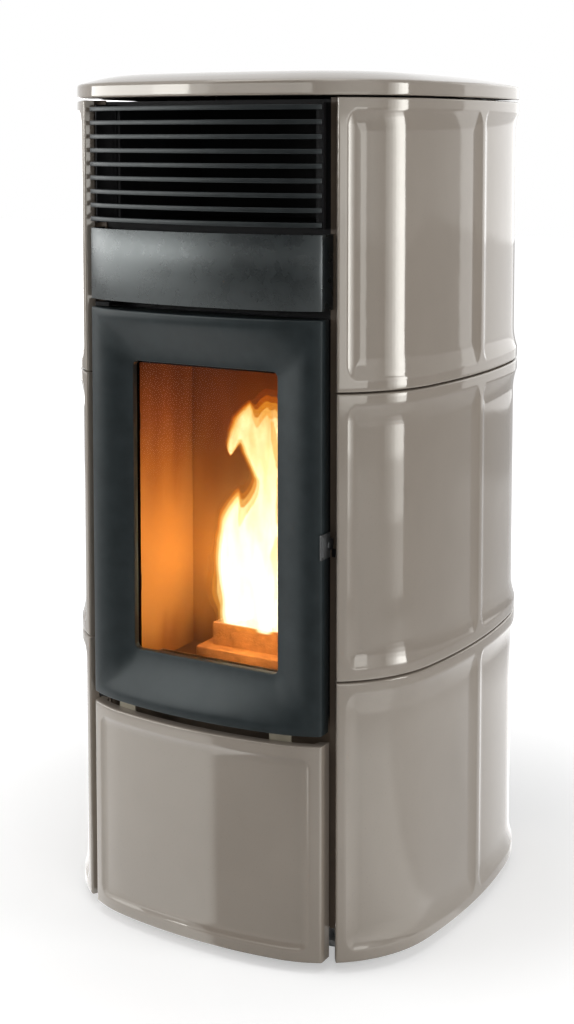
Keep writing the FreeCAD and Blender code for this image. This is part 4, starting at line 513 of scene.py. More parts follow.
def make_tile(name, side, low, high):
    rim, rib, end_rim = 0.0125, 0.010, 0.0150
    recess, slopes, corner = 0.005, (0.020, 0.030), 0.013
    fine, end_fine = 0.024, 0.034
    length = OUTLINE_LENGTH - TILE_START
    middle = length / 2
    spans = [(rim, middle - rib / 2), (middle + rib / 2, length - rim)]
    marks, steps = [0.0, EDGE], [5]
    for start, end in spans:
        marks += [start, start + fine, end - fine, end]
        steps += [3, 18, 20, 18]
    marks += [length - EDGE, length]
    steps += [3, 5]
    lengths = [TILE_START + along for along in graded(marks, steps)]
    levels = [low, low + EDGE, low + end_rim, low + end_rim + end_fine]
    levels += [high - end_rim - end_fine, high - end_rim, high - EDGE, high]
    heights = graded(levels, [5, 4, 24, 14, 24, 4, 5])
    fields = [(TILE_START + start, TILE_START + end, low + end_rim, high - end_rim) for start, end in spans]
    bm = relief_slab(lengths, heights, fields, recess, slopes, corner)
    for vert in bm.verts:
        vert.co.x *= side
    bend(bm)
    return finish_piece(name, bm, glaze, nodes=(name,), sharp=50.0)


def make_front_panel():
    low, high = 0.014, 0.2974
    rim, slope, fine = 0.0155, 0.0145, 0.024
    recess, corner, stiff = 0.0042, 0.014, 0.008
    marks = [-FRONT_LENGTH, -FRONT_LENGTH + EDGE, -FRONT_LENGTH + rim, -FRONT_LENGTH + rim + fine]
    marks += [-mark for mark in reversed(marks)]
    lengths = graded(marks, [5, 4, 18, 40, 18, 4, 5])
    levels = [low, low + EDGE, low + rim, low + rim + fine]
    levels += [high - rim - fine, high - rim, high - EDGE, high]
    heights = graded(levels, [5, 4, 18, 16, 18, 4, 5])
    field = (-FRONT_LENGTH + rim, FRONT_LENGTH - rim, low + rim, high - rim)
    bm = relief_slab(lengths, heights, [field], recess, (slope, slope), corner)
    near_back = CLAY - 0.0005
    for vert in bm.verts:
        along, depth, up = vert.co
        if depth > near_back and abs(along) > FRONT_LENGTH - rim:
            depth += stiff
        vert.co = on_outline(along, 0.0, up) + Vector((0.0, depth, 0.0))
    nodes = ("lower_front_panel",)
    return finish_piece("lower_front_panel", bm, glaze, "front_panel", nodes, 50.0)


TILE_LOW, TILE_HEIGHT, TILE_JOINT = 0.014, 0.3653, 0.002
for row, row_name in enumerate(("lower", "middle", "upper")):
    foot = TILE_LOW + row * (TILE_HEIGHT + TILE_JOINT)
    make_tile("right_" + row_name + "_tile", 1, foot, foot + TILE_HEIGHT)
    make_tile("left_" + row_name + "_tile", -1, foot, foot + TILE_HEIGHT)
make_front_panel()

# %% [markdown]
# ## Rings joined into a surface
# The cover and the door are both made of closed rings, one inside the other, with the same number
# of points. Joining each ring to the next gives an even surface that turns every corner cleanly. The
# last ring joins the first, so that the piece is a closed solid with a hole through it.

# %% Ring helpers


def ring_of(bm, points):
    """A closed ring of edges through the points."""
    verts = [bm.verts.new(point) for point in points]
    return [bm.edges.new((a, b)) for a, b in zip(verts, verts[1:] + verts[:1])]


def join_rings(bm, rings):
    """Joins each ring to the next and the last to the first."""
    for first, second in zip(rings, rings[1:] + rings[:1]):
        bmesh.ops.bridge_loops(bm, edges=first + second)


def round_rectangle(x_half, low, high, corner, per_side, per_corner):
    """Points (across, up) round a rectangle with round corners, from the middle of its low side."""
    points = []
    corners = (
        (x_half - corner, low + corner, -90), (x_half - corner, high - corner, 0),
        (-x_half + corner, high - corner, 90), (-x_half + corner, low + corner, 180),
    )
    for number, (x, z, start) in enumerate(corners):
        for step in range(per_corner + 1):
            angle = math.radians(start + 90 * step / per_corner)
            points.append((x + corner * math.cos(angle), z + corner * math.sin(angle)))
        next_x, next_z, next_start = corners[(number + 1) % 4]
        angle = math.radians(next_start)
        target = (next_x + corner * math.cos(angle), next_z + corner * math.sin(angle))
        last = points[-1]
        for step in range(1, per_side):
            share = step / per_side
            points.append((last[0] + (target[0] - last[0]) * share, last[1] + (target[1] - last[1]) * share))
    return points


# %% [markdown]
# ## The top cover
# The cover is one glazed casting. Its rim stands upright over the tiles, its top swells up to a flat
# middle, and the filling lid lies flush in that flat. Its rings run from the under edge, up the
# rim, over the crown and down into the lid's recess, and back underneath. Two rings close to the
# ends of the upright rim hold its shading flat, so that it mirrors one even band of light. Two small
# notches at the back of the recess make room for the lid's hinges.

# %% Top cover
COVER_LOW, COVER_SHOULDER, COVER_TOP = 1.1165, 1.1318, 1.1495
CROWN, UNDER_INSET, HOLLOW = 0.080, 0.030, 0.0115
LID_Y = (0.011482, 0.165482)
LID_HALF, LID_GAP, LEDGE, LEDGE_DEPTH = 0.138, 0.002, 0.012, 0.0105
COVER_BACK = on_outline(OUTLINE_LENGTH, 0.0, 0.0).y


def cover_ring(inset, height, count=168, rear=40):
    """The outline at an inset, closed by a straight rear edge, from the rear's middle."""
    back = COVER_BACK - inset
    end = length_at(lambda point: point.y - back, inset)
    corner = on_outline(end, inset, height)
    points = []
    for step in range(rear // 2):
        points.append(Vector((corner.x * 2 * step / rear, back, height)))
    for step in range(count + 1):
        points.append(on_outline(end - 2 * end * step / count, inset, height))
    for step in range(1, rear // 2):
        points.append(Vector((-corner.x * (1 - 2 * step / rear), back, height)))
    return points


def recess_ring(half, front, back, corner, height, like):
    """A round rectangle with one point for each point of another ring, in the same direction."""
    outline = round_rectangle(half, front, back, corner, per_side=12, per_corner=10)
    centre = Vector((0.0, (front + back) / 2))
    parts = 12
    dense = []
    for a, b in zip(outline, outline[1:] + outline[:1]):
        for step in range(parts):
            share = step / parts
            dense.append((a[0] + (b[0] - a[0]) * share, a[1] + (b[1] - a[1]) * share))
    angles = [math.atan2((y - centre.y) * half, x * (back - front) / 2) for x, y in dense]
    points = []
    for point in like:
        angle = math.atan2((point.y - centre.y) * half, (point.x - centre.x) * (back - front) / 2)
        best = min(range(len(dense)), key=lambda i: abs(math.remainder(angles[i] - angle, math.tau)))
        points.append(Vector((*dense[best], height)))
    return points


def make_cover():
    bm = bmesh.new()
    rim, close = 0.0022, 0.0006
    rings = [cover_ring(UNDER_INSET, COVER_LOW), cover_ring(rim, COVER_LOW)]
    for cosine, sine in quarter_turn(3, 1):
        rings.append(cover_ring(rim * (1 - sine), COVER_LOW + rim * (1 - cosine)))
    rings.append(cover_ring(0.0, COVER_LOW + rim + close))
    rings.append(cover_ring(0.0, COVER_SHOULDER - close))
    turn_in, lip, steps = math.radians(71.0), 0.0045, 6
    for step in range(steps):
        angle = turn_in * step / steps
        rings.append(cover_ring(lip * (1 - math.cos(angle)), COVER_SHOULDER + lip * math.sin(angle)))
    start = (lip * (1 - math.cos(turn_in)), COVER_SHOULDER + lip * math.sin(turn_in))
    steps = 14
    for step in range(steps + 1):
        share = step / steps
        inset = start[0] + (CROWN - start[0]) * share
        rings.append(cover_ring(inset, start[1] + (COVER_TOP - start[1]) * (1 - (1 - share) ** 2)))
    like = rings[-1]
    half = LID_HALF + LID_GAP
    front, back = LID_Y[0] - LID_GAP, LID_Y[1] + LID_GAP
    edge, wide_corner, corner, neck_corner = 0.0012, 0.015, 0.014, 0.004
    ledge_top, hollow = COVER_TOP - LEDGE_DEPTH, COVER_LOW + HOLLOW
    rings.append(recess_ring(half + edge, front - edge, back + edge, wide_corner, COVER_TOP, like))
    rings.append(recess_ring(half, front, back, corner, COVER_TOP - edge, like))
    rings.append(recess_ring(half, front, back, corner, ledge_top, like))
    half, front, back = LID_HALF - LEDGE, LID_Y[0] + LEDGE, LID_Y[1] - LEDGE
    rings.append(recess_ring(half, front, back, neck_corner, ledge_top, like))
    rings.append(recess_ring(half, front, back, neck_corner, hollow, like))
    rings.append(cover_ring(UNDER_INSET, hollow))
    join_rings(bm, [ring_of(bm, ring) for ring in rings])
    return finish_piece("top_cover", bm, glaze, nodes=("top_cover",))


cover = make_cover()

# %% [markdown]
# The hinge notches are cut with a boolean, as a mill would cut them after casting. The cutters are
# removed at once, and the result is kept as plain mesh.

# %% Hinge notches in the cover


def modified_mesh(thing):
    """The mesh of an object with its modifiers applied."""
    bpy.context.view_layer.update()
    return bpy.data.meshes.new_from_object(thing.evaluated_get(bpy.context.evaluated_depsgraph_get()))


def cut_boxes(piece, boxes):
    """Cuts boxes, given as (centre, size), out of a piece and keeps the result as its mesh."""
    for centre, size in boxes:
        bm = bmesh.new()
        bmesh.ops.create_cube(bm, size=1.0)
        bmesh.ops.scale(bm, vec=size, verts=bm.verts[:])
        bmesh.ops.translate(bm, vec=centre, verts=bm.verts[:])
        cutter = link_mesh("cutter", bm)
        modifier = piece.modifiers.new("cut", "BOOLEAN")
        modifier.object = cutter
        modifier.operation = "DIFFERENCE"
        modifier.solver = "EXACT"
        result = modified_mesh(piece)
        piece.modifiers.clear()
        piece.data = result
        bpy.data.objects.remove(cutter)
    smooth(piece.data)


HINGE_X, HINGE_BEHIND, HINGE_ROOM = 0.090, 0.005, 0.0045
NOTCH_WIDTH, NOTCH_HEIGHT, NOTCH_SINK = 0.042, 0.010, 0.003
notch_back = LID_Y[1] + HINGE_BEHIND + HINGE_ROOM
notches = []
for hinge_x in (-HINGE_X, HINGE_X):
    centre = (hinge_x, (LID_Y[1] + notch_back) / 2, COVER_TOP - NOTCH_SINK)
    notches.append((centre, (NOTCH_WIDTH, notch_back - LID_Y[1], NOTCH_HEIGHT)))
cut_boxes(cover, notches)
print("cover after the notches, faces:", len(cover.data.polygons))

# %% [markdown]
# ## The cast door
# The door is a picture frame of cast iron. A narrow rim follows the curve of the front, and inside
# it a broad hollow border sinks to the flat window. Its rings start at the back, pass round the rim,
# sink along a hollow curve to the window, turn inward over its rounded edge and end in the rebate that
# holds the glass. Half way down the border the rings have rounder corners, so that the four sides flow
# into each other.

# %% Door frame
DOOR_LOW, DOOR_HIGH = 0.3104, 0.8388
WINDOW_LOW, WINDOW_HALF = 0.378, 0.1122
WINDOW_Y, GLASS_Y, DOOR_BACK = 0.032, 0.041, 0.053


def door_ring(inset_side, inset_end, corner, depth):
    """A ring at an inset from the door's edge; depth is a rule of x or one value."""
    low, high = DOOR_LOW + inset_end, DOOR_HIGH - inset_end
    shape = round_rectangle(FRONT_HALF - inset_side, low, high, corner, per_side=26, per_corner=6)
    points = []
    for x, z in shape:
        y = depth(x) if callable(depth) else depth
        points.append(Vector((x, FRONT_Y + y, z)))
    return points


def make_door():
    bm = bmesh.new()
    rim_side, rim_end = 0.009, 0.010
    soft, chamfer, back_step, back_corner = 0.0022, 0.005, 0.002, 0.002
    rim_corner, swell, window_corner, rebate_corner = 0.004, 0.070, 0.008, 0.006
    window_inset = (FRONT_HALF - WINDOW_HALF, WINDOW_LOW - DOOR_LOW)
    rings = [
        door_ring(chamfer, back_step, back_corner, DOOR_BACK),
        door_ring(0.0, 0.0, back_corner, DOOR_BACK - chamfer),
    ]
    for cosine, sine in quarter_turn(4):
        inset, sink = soft * (1 - cosine), soft * (1 - sine)
        rings.append(door_ring(inset, inset, soft, lambda x, sink=sink: front_depth(x) + sink))
    rings.append(door_ring(rim_side * 0.7, rim_end * 0.7, 0.0035, front_depth))
    steps = 14
    for step in range(steps + 1):
        share = step / steps
        side = rim_side + (window_inset[0] - rim_side) * share
        end = rim_end + (window_inset[1] - rim_end) * share
        fall = 1 - (1 - share) ** 1.5
        fall *= share ** 0.25
        corner = rim_corner + (window_corner - rim_corner) * share + swell * share * (1 - share)

        def depth(x, fall=fall):
            return front_depth(x) + (WINDOW_Y - front_depth(x)) * fall

        rings.append(door_ring(side, end, corner, depth))
    side, end = window_inset
    edge, rebate = 0.0014, 0.012
    for cosine, sine in quarter_turn(3, 1):
        inward, depth = edge * sine, WINDOW_Y + edge * (1 - cosine)
        rings.append(door_ring(side + inward, end + inward, window_corner, depth))
    rings.append(door_ring(side + edge, end + edge, window_corner, GLASS_Y))
    for depth in (GLASS_Y, DOOR_BACK):
        rings.append(door_ring(side - rebate, end - rebate, rebate_corner, depth))
    join_rings(bm, [ring_of(bm, ring) for ring in rings])
    return finish_piece("door_frame", bm, door_iron, "door", ("door_frame",), 48.0)


door_piece = make_door()

# %% [markdown]
# ## Fascia and slats
# The fascia is a sheet bent to the curve of the front, with its ends folded back. A chain of edges
# along that path is extruded upward, given its thickness and softened at the edges. The slats are
# nine bars of the same curve. Behind their ends stands a sheet post on each side: a folded strip,
# drawn as a line seen from above, which is extruded upward in the same way.

# %% Fascia and slats
FASCIA_LOW, FASCIA_HIGH = 0.850, 0.9446
SHEET, SHEET_REACH, SHEET_EDGE = 0.002, 0.060, 0.0005


def soften(bm, width, segments=2, above=50.0):
    """Bevels every edge where the surface turns by more than an angle."""
    edges = []
    for edge in bm.edges:
        if len(edge.link_faces) == 2 and edge.calc_face_angle(0.0) > math.radians(above):
            edges.append(edge)
    bmesh.ops.bevel(
        bm, geom=edges, offset=width, offset_type="OFFSET", segments=segments, profile=0.5,
        affect="EDGES", material=-1, clamp_overlap=True,
    )


def raise_sheet(points, low, high, thickness):
    """A sheet whose outer face stands on a line of points and rises from low to high."""
    bm = bmesh.new()
    verts = [bm.verts.new((point.x, point.y, low)) for point in points]
    edges = [bm.edges.new(pair) for pair in zip(verts, verts[1:])]
    raised = new_verts(bmesh.ops.extrude_edge_only(bm, edges=edges))
    bmesh.ops.translate(bm, vec=(0.0, 0.0, high - low), verts=raised)
    bmesh.ops.recalc_face_normals(bm, faces=bm.faces[:])
    toward_front = sum(face.normal.y * face.calc_area() for face in bm.faces)
    if toward_front > 0.0:
        bmesh.ops.reverse_faces(bm, faces=bm.faces[:])
    bmesh.ops.solidify(bm, geom=bm.faces[:], thickness=thickness)
    bmesh.ops.recalc_face_normals(bm, faces=bm.faces[:])
    return bm


def mirrored(points):
    """The same line of points on the other side of the stove, in reverse order."""
    return [Vector((-point.x, point.y, point.z)) for point in reversed(points)]


def make_fascia():
    fold, count, side_steps, fold_steps = 0.003, 72, 7, 5
    end = FRONT_LENGTH - fold
    corner = on_outline(FRONT_LENGTH, 0.0, 0.0)
    start = on_outline(end, 0.0, 0.0)
    back_y = FRONT_Y + SHEET_REACH
    side = []
    for step in range(side_steps + 1):
        side.append(Vector((corner.x, back_y + (corner.y + fold - back_y) * step / side_steps, 0.0)))
    for step in range(1, fold_steps):
        share = step / fold_steps
        along_side = Vector((corner.x, corner.y + fold * (1 - share), 0.0))
        along_front = corner.lerp(start, share)
        side.append(along_side.lerp(along_front, share))
    front = [on_outline(end - 2 * end * step / count, 0.0, 0.0) for step in range(count + 1)]
    bm = raise_sheet(side + front + mirrored(side), FASCIA_LOW, FASCIA_HIGH, SHEET)
    soften(bm, SHEET_EDGE)
    return finish_piece("fascia_panel", bm, anthracite, nodes=("fascia_panel",))


def make_posts():
    bm = bmesh.new()
    post_low, post_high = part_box("grille_posts")
    foot_y = FRONT_Y + SHEET_REACH
    fold = [(0.1545, foot_y), (0.1610, foot_y), (0.1705, FRONT_Y + 0.046), (0.1715, FRONT_Y + 0.0385)]
    line = [Vector((x, y, 0.0)) for x, y in fold]
    for points in (line, mirrored(line)):
        sheet = raise_sheet(points, post_low.z, post_high.z, SHEET)
        part = bpy.data.meshes.new("post")
        sheet.to_mesh(part)
        sheet.free()
        bm.from_mesh(part)
        bpy.data.meshes.remove(part)
    soften(bm, SHEET_EDGE)
    return finish_piece("grille_posts", bm, black_paint, nodes=("grille_posts",))


def make_slats():
    bm = bmesh.new()
    tall, deep, round_edge, count = 0.006, 0.008, 0.0009, 9
    first, last = 0.9567, 1.1018
    for number in range(count):
        middle = first + (last - first) * number / (count - 1)
        new = bmesh.ops.create_cube(bm, size=1.0)["verts"]
        bmesh.ops.scale(bm, vec=(2 * FRONT_LENGTH, deep, tall), verts=new)
        bmesh.ops.translate(bm, vec=(0.0, deep / 2, middle), verts=new)
    soften(bm, round_edge, 3)
    long_edges = [edge for edge in bm.edges if edge.calc_length() > FRONT_LENGTH]
    bmesh.ops.subdivide_edges(bm, edges=long_edges, cuts=47, use_grid_fill=True)
    bend(bm)
    return finish_piece("grille_slats", bm, slat_paint_with_painted_shade, nodes=("grille_slats",))


make_fascia()
make_slats()
make_posts()

# %% [markdown]
# ## The door latch
# The latch is a flat steel lever on the right edge of the door. A flat sheet is divided along the
# lines of the finger slot and of the narrower tail, the faces in the slot and beside the tail are
# removed, and the rest is given its thickness and soft edges.

# %% Latch
LATCH_X, LATCH_THICK, LATCH_Z = 0.1764, 0.0024, 0.5545
LATCH_FRONT, LATCH_SIZE, LATCH_EDGE = 0.024, 0.032, 0.0006
SLOT_FRONT, SLOT_BACK, SLOT_HALF = 0.0262, 0.0295, 0.0125
TAIL_FRONT, TAIL_HALF = 0.048, 0.007
PIN_BACK, PIN_RADIUS, PIN_HEIGHT = 0.044, 0.0042, 0.002


def make_latch():
    bm = bmesh.new()
    bmesh.ops.create_grid(bm, x_segments=1, y_segments=1, size=0.5)
    for vert in bm.verts:
        along = LATCH_FRONT + (vert.co.x + 0.5) * LATCH_SIZE
        vert.co = (LATCH_X, FRONT_Y + along, LATCH_Z + vert.co.y * LATCH_SIZE)
    lines = [(1, FRONT_Y + mark) for mark in (SLOT_FRONT, SLOT_BACK, TAIL_FRONT)]
    lines += [(2, LATCH_Z + mark) for mark in (-SLOT_HALF, -TAIL_HALF, TAIL_HALF, SLOT_HALF)]
    for axis, mark in lines:
        at = Vector((LATCH_X, 0.0, 0.0))
        at[axis] = mark
        normal = Vector((0.0, 0.0, 0.0))
        normal[axis] = 1.0
        everything = bm.verts[:] + bm.edges[:] + bm.faces[:]
        bmesh.ops.bisect_plane(bm, geom=everything, plane_co=at, plane_no=normal)
    holes = []
    for face in bm.faces:
        middle = face.calc_center_median()
        along, up = middle.y - FRONT_Y, abs(middle.z - LATCH_Z)
        in_slot = SLOT_FRONT < along < SLOT_BACK and up < SLOT_HALF
        beside_tail = along > TAIL_FRONT and up > TAIL_HALF
        if in_slot or beside_tail:
            holes.append(face)
    bmesh.ops.delete(bm, geom=holes, context="FACES")
    raised = new_verts(bmesh.ops.extrude_face_region(bm, geom=bm.faces[:]))
    bmesh.ops.translate(bm, vec=(LATCH_THICK, 0.0, 0.0), verts=raised)
    bmesh.ops.recalc_face_normals(bm, faces=bm.faces[:])
    soften(bm, LATCH_EDGE)
    return finish_piece("door_latch", bm, latch_steel, "latch", ("door_latch",))


def make_rivet(name, centre, direction, radius, height, material, body):
    """A domed pin head: a half-section spun round its axis."""
    bm = bmesh.new()
    upright = 0.45
    profile = [(radius, 0.0), (radius, height * upright)]
    for cosine, sine in quarter_turn(4, 1):
        profile.append((radius * cosine, height * (upright + (1 - upright) * sine)))
    verts = [bm.verts.new((x, 0.0, z)) for x, z in profile]
    edges = [bm.edges.new(pair) for pair in zip(verts, verts[1:])]
    bmesh.ops.spin(
        bm, geom=verts + edges, cent=(0, 0, 0), axis=(0, 0, 1), angle=math.tau, steps=24, use_merge=True,
    )
    bmesh.ops.remove_doubles(bm, verts=bm.verts[:], dist=MERGE)
    rim = [edge for edge in bm.edges if edge.is_boundary]
    bmesh.ops.edgeloop_fill(bm, edges=rim)
    turn = Vector((0, 0, 1)).rotation_difference(Vector(direction)).to_matrix().to_4x4()
    bmesh.ops.transform(bm, matrix=Matrix.Translation(centre) @ turn, verts=bm.verts[:])
    return finish_piece(name, bm, material, body)


make_latch()
pin_centre = (LATCH_X + LATCH_THICK, FRONT_Y + PIN_BACK, LATCH_Z)
make_rivet(
    "latch_pin_head", pin_centre, (1, 0, 0), PIN_RADIUS, PIN_HEIGHT, latch_steel, "door")

# %% [markdown]
# ## Small fittings at the back
# The rear panel is held by pan-head screws, and the power inlet has three flat pins inside its
# socket. They are small, but a stranger who turns the stove round looks for them.

# %% Rear screws and inlet pins
SCREW_RADIUS, SCREW_HEIGHT, SCREW_SINK = 0.0045, 0.0024, 0.0002
SCREW_INSET, SCREW_END, SCREWS = 0.014, 0.05, 5
SOCKET_X, SOCKET_Z, PIN_SINK = 0.140 - 0.011, 0.200, 0.0105
PIN_SIZE, PIN_EDGE = (0.002, 0.014, 0.004), 0.0004
PIN_PLACES = ((-0.0055, -0.003), (0.0055, -0.003), (0.0, 0.003))
rear_low, rear_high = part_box("rear_panel")
screw_x, screw_y = rear_high.x - SCREW_INSET, rear_high.y - SCREW_SINK
screw_run = rear_high.z - rear_low.z - 2 * SCREW_END
for side, side_name in ((-1, "left"), (1, "right")):
    for number in range(SCREWS):
        centre = (side * screw_x, screw_y, rear_low.z + SCREW_END + screw_run * number / (SCREWS - 1))
        name = "rear_screw_%s_%d" % (side_name, number + 1)
        make_rivet(name, centre, (0, 1, 0), SCREW_RADIUS, SCREW_HEIGHT, zinc, "stove")


def make_inlet_pins():
    bm = bmesh.new()
    _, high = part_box("power_inlet")
    for across, up in PIN_PLACES:
        new = bmesh.ops.create_cube(bm, size=1.0)["verts"]
        bmesh.ops.scale(bm, vec=PIN_SIZE, verts=new)
        bmesh.ops.translate(bm, vec=(SOCKET_X + across, high.y - PIN_SINK, SOCKET_Z + up), verts=new)
    soften(bm, PIN_EDGE)
    return finish_piece("inlet_pins", bm, zinc, "stove")


make_inlet_pins()

# %% [markdown]
# ## The fire
# Wood pellets are short pressed rods, about 6 mm thick. A heap of them glows in the fire pot: ash
# grey outside, orange where the air comes through. One pellet is a small cone operator with equal
# ends, and a seeded chance lays the pellets across each other.

# %% Pellets


def make_ember():
    material, shader, place = new_material("glowing_pellets")
    patches = noise_of(material, place, 90.0, 3.0)
    paint(material, shader, patches, [(0.35, (0.10, 0.06, 0.04)), (0.65, (0.35, 0.17, 0.07))])
    connect(material, ramp(material, patches, [
        (0.42, (0.25, 0.02, 0.0)), (0.62, (1.0, 0.30, 0.03)), (0.75, (1.0, 0.62, 0.16)),
    ]), shader.inputs["Emission Color"])
    shader.inputs["Emission Strength"].default_value = 1.6
    shader.inputs["Roughness"].default_value = 0.9
    bump(material, shader, noise_of(material, place, 900.0), 0.6, 0.0003)
    return material


def make_pellets():
    bm = bmesh.new()
    chance = random.Random(7)
    half_x, front, back = 0.054, FRONT_Y + 0.154, FRONT_Y + 0.205
    side_margin, end_margin = 0.010, 0.009
    count, per_layer, radius = 110, 37, 0.003
    foot, layer_rise, heap = 0.372, 0.0055, 0.006
    for number in range(count):
        x = chance.uniform(-half_x + side_margin, half_x - side_margin)
        y = chance.uniform(front + end_margin, back - end_margin)
        layer = number // per_layer
        z = foot + layer_rise * layer + heap * math.cos(math.pi * x / (2 * half_x))
        length = chance.uniform(0.010, 0.016)
        new = bmesh.ops.create_cone(
            bm, cap_ends=True, segments=10, radius1=radius, radius2=radius, depth=length)["verts"]
        turn = Matrix.Rotation(chance.uniform(0, math.tau), 4, "Z")
        tilt = Matrix.Rotation(math.pi / 2 + chance.uniform(-0.5, 0.5), 4, "Y")
        bmesh.ops.transform(bm, matrix=Matrix.Translation((x, y, z)) @ turn @ tilt, verts=new)
    return finish_piece("burning_pellets", bm, make_ember(), "brazier")


make_pellets()

# %% [markdown]
# The pot stands in a cast box on the firebox floor. Its rings run up the outside, over a soft top edge,
# into the opening for the pot's foot and down the inside.

# %% Holder of the fire pot


def make_holder():
    bm = bmesh.new()
    low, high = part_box("brazier_holder")
    foot_low, foot_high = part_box("brazier")
    wall, edge, step, fit = 0.004, 0.0022, 0.006, 0.001
    outer_corner, opening_corner = 0.004, 0.002
    rings = []

    def add_ring(half, front, back, corner, height):
        shape = round_rectangle(half, front, back, corner, per_side=8, per_corner=4)
        rings.append(ring_of(bm, [Vector((x, y, height)) for x, y in shape]))

    def add_wall(inset, height):
        add_ring(high.x - inset, low.y + inset, high.y - inset, outer_corner, height)

    def add_opening(height):
        half, front, back = foot_high.x - step + fit, foot_low.y + step - fit, foot_high.y - step + fit
        add_ring(half, front, back, opening_corner, height)

    add_wall(0.0, low.z)
    for cosine, sine in quarter_turn(4):
        add_wall(edge * (1 - cosine), high.z - edge * (1 - sine))
    add_opening(high.z)
    add_opening(high.z - wall)
    add_wall(wall, high.z - wall)
    add_wall(wall, low.z)
    join_rings(bm, rings)
    return finish_piece("brazier_holder", bm, pot_iron, nodes=("brazier_holder",), sharp=50.0)


make_holder()

# %% [markdown]
# Each tongue is a circle that is extruded upward along a path, and its points are pushed in and out
# by a noise, so that no two sides are alike. The tongues overlap, so a voxel remesh then melts them
# into one skin, as the flames of one fire melt together. Five such skins stand one inside the other.
# Every skin lets most of the light behind it through, so their glow adds up from a thin orange edge
# to a white heart, which is how a real flame looks. The flames ride on the pot, as the pellets do.

# %% Flame


def make_flame_material(name, strength, alpha, colours):
    """Glow that fades upward through three colours: at the foot, at two thirds and at the tips."""
    material, shader, place = new_material(name)
    level = height_of(material, place, 0.38, 0.71)
    tall = add_node(material, "ShaderNodeMapping", {"Vector": place, "Scale": (1.0, 1.0, 0.22)})
    wisps = noise_of(material, tall.outputs["Vector"], 75.0, 3.0)
    uneven = combine(material, "ADD", level, spread(material, wisps, -0.35, 0.35))
    glow = ramp(material, uneven, list(zip((0.25, 0.65, 1.0), colours)))
    connect(material, glow, shader.inputs["Emission Color"])
    shader.inputs["Base Color"].default_value = (0.0, 0.0, 0.0, 1.0)
    shader.inputs["Specular IOR Level"].default_value = 0.0
    shader.inputs["Emission Strength"].default_value = strength
    connect(material, spread(material, wisps, alpha * 0.3, min(alpha * 1.7, 1.0)), shader.inputs["Alpha"])
    return material


def smooth_path(points, share):
    """Point on a smooth curve through the points, for a share from 0 to 1."""
    place = share * (len(points) - 1)
    index = min(int(place), len(points) - 2)
    part = place - index
    before, start = points[max(index - 1, 0)], points[index]
    end, after = points[index + 1], points[min(index + 2, len(points) - 1)]
    return 0.5 * (
        2 * start + (end - before) * part + (2 * before - 5 * start + 4 * end - after) * part ** 2
        + (3 * start - before - 3 * end + after) * part ** 3
    )


def add_tongue(bm, path, shrink, seed):
    """One tongue of flame along a path of (x, depth, height, half-width) in millimetres."""
    sides, steps = 24, 34
    marks = [Vector(point) for point in path]
    verts = bmesh.ops.create_circle(bm, segments=sides, radius=1.0, cap_ends=True)["verts"]
    ring = [edge for edge in bm.edges if edge.verts[0] in verts and edge.verts[1] in verts]
    angles = [math.tau * number / sides for number in range(sides)]
    for step in range(steps + 1):
        x, depth, height, width = smooth_path(marks, step / steps)
        height = marks[0][2] + (height - marks[0][2]) * (0.80 + 0.20 * shrink)
        if step:
            made = bmesh.ops.extrude_edge_only(bm, edges=ring)
            verts = new_verts(made)
            edges = [item for item in made["geom"] if isinstance(item, bmesh.types.BMEdge)]
            ring = [edge for edge in edges if set(edge.verts) <= set(verts)]
        for vert, angle in zip(verts, angles):
            side, front = math.cos(angle), math.sin(angle)
            ripple = noise.noise(Vector((side * 1.3, front * 1.3, step * 0.16 + seed)))
            flick = noise.noise(Vector((side * 3.1, front * 3.1, step * 0.42 - seed)))
            reach = max(width, 0.6) * shrink * (1.0 + 0.30 * ripple + 0.14 * flick)
            vert.co = (
                (x + side * reach) / 1000, FRONT_Y + (depth + front * reach * 0.6) / 1000, height / 1000,
            )
    bmesh.ops.edgeloop_fill(bm, edges=ring)


def melted(bm, voxel):
    """One closed skin round everything in a mesh."""
    bmesh.ops.recalc_face_normals(bm, faces=bm.faces[:])
    holder = link_mesh("melting", bm)
    remesh = holder.modifiers.new("melt", "REMESH")
    remesh.mode = "VOXEL"
    remesh.voxel_size = voxel
    skin = modified_mesh(holder)
    bpy.data.objects.remove(holder)
    result = bmesh.new()
    result.from_mesh(skin)
    bpy.data.meshes.remove(skin)
    for _ in range(3):
        bmesh.ops.smooth_vert(
            result, verts=result.verts[:], factor=0.5, use_axis_x=True, use_axis_y=True, use_axis_z=True)
    return result


FLAME_VOXEL, SEED_STEP = 0.0028, 3.7
TONGUES = (
    ((-6, 174, 386, 46), (-8, 168, 440, 52), (-8, 164, 500, 50), (2, 164, 545, 44), (17, 166, 590, 25),
     (15, 167, 640, 25), (8, 168, 680, 22), (12, 169, 702, 16), (16, 169, 716, 3)),
    ((-34, 168, 386, 27), (-40, 164, 440, 26), (-41, 161, 500, 24), (-39, 161, 540, 20), (-33, 162, 566, 12),
     (-26, 162, 586, 1)),
    ((10, 168, 600, 18), (-6, 167, 640, 22), (-13, 166, 668, 22), (-14, 166, 690, 14), (-8, 167, 705, 1)),
    ((-42, 165, 622, 1), (-39, 165, 638, 9), (-31, 165, 660, 14), (-23, 166, 680, 13), (-15, 166, 697, 7),
     (-9, 167, 708, 1)),
    ((32, 178, 386, 26), (38, 178, 440, 28), (38, 180, 510, 24), (42, 180, 575, 19), (36, 180, 640, 15),
     (30, 178, 690, 12), (22, 177, 714, 3)),
    ((22, 152, 388, 18), (26, 151, 430, 17), (30, 152, 476, 11), (25, 153, 520, 1)),
)
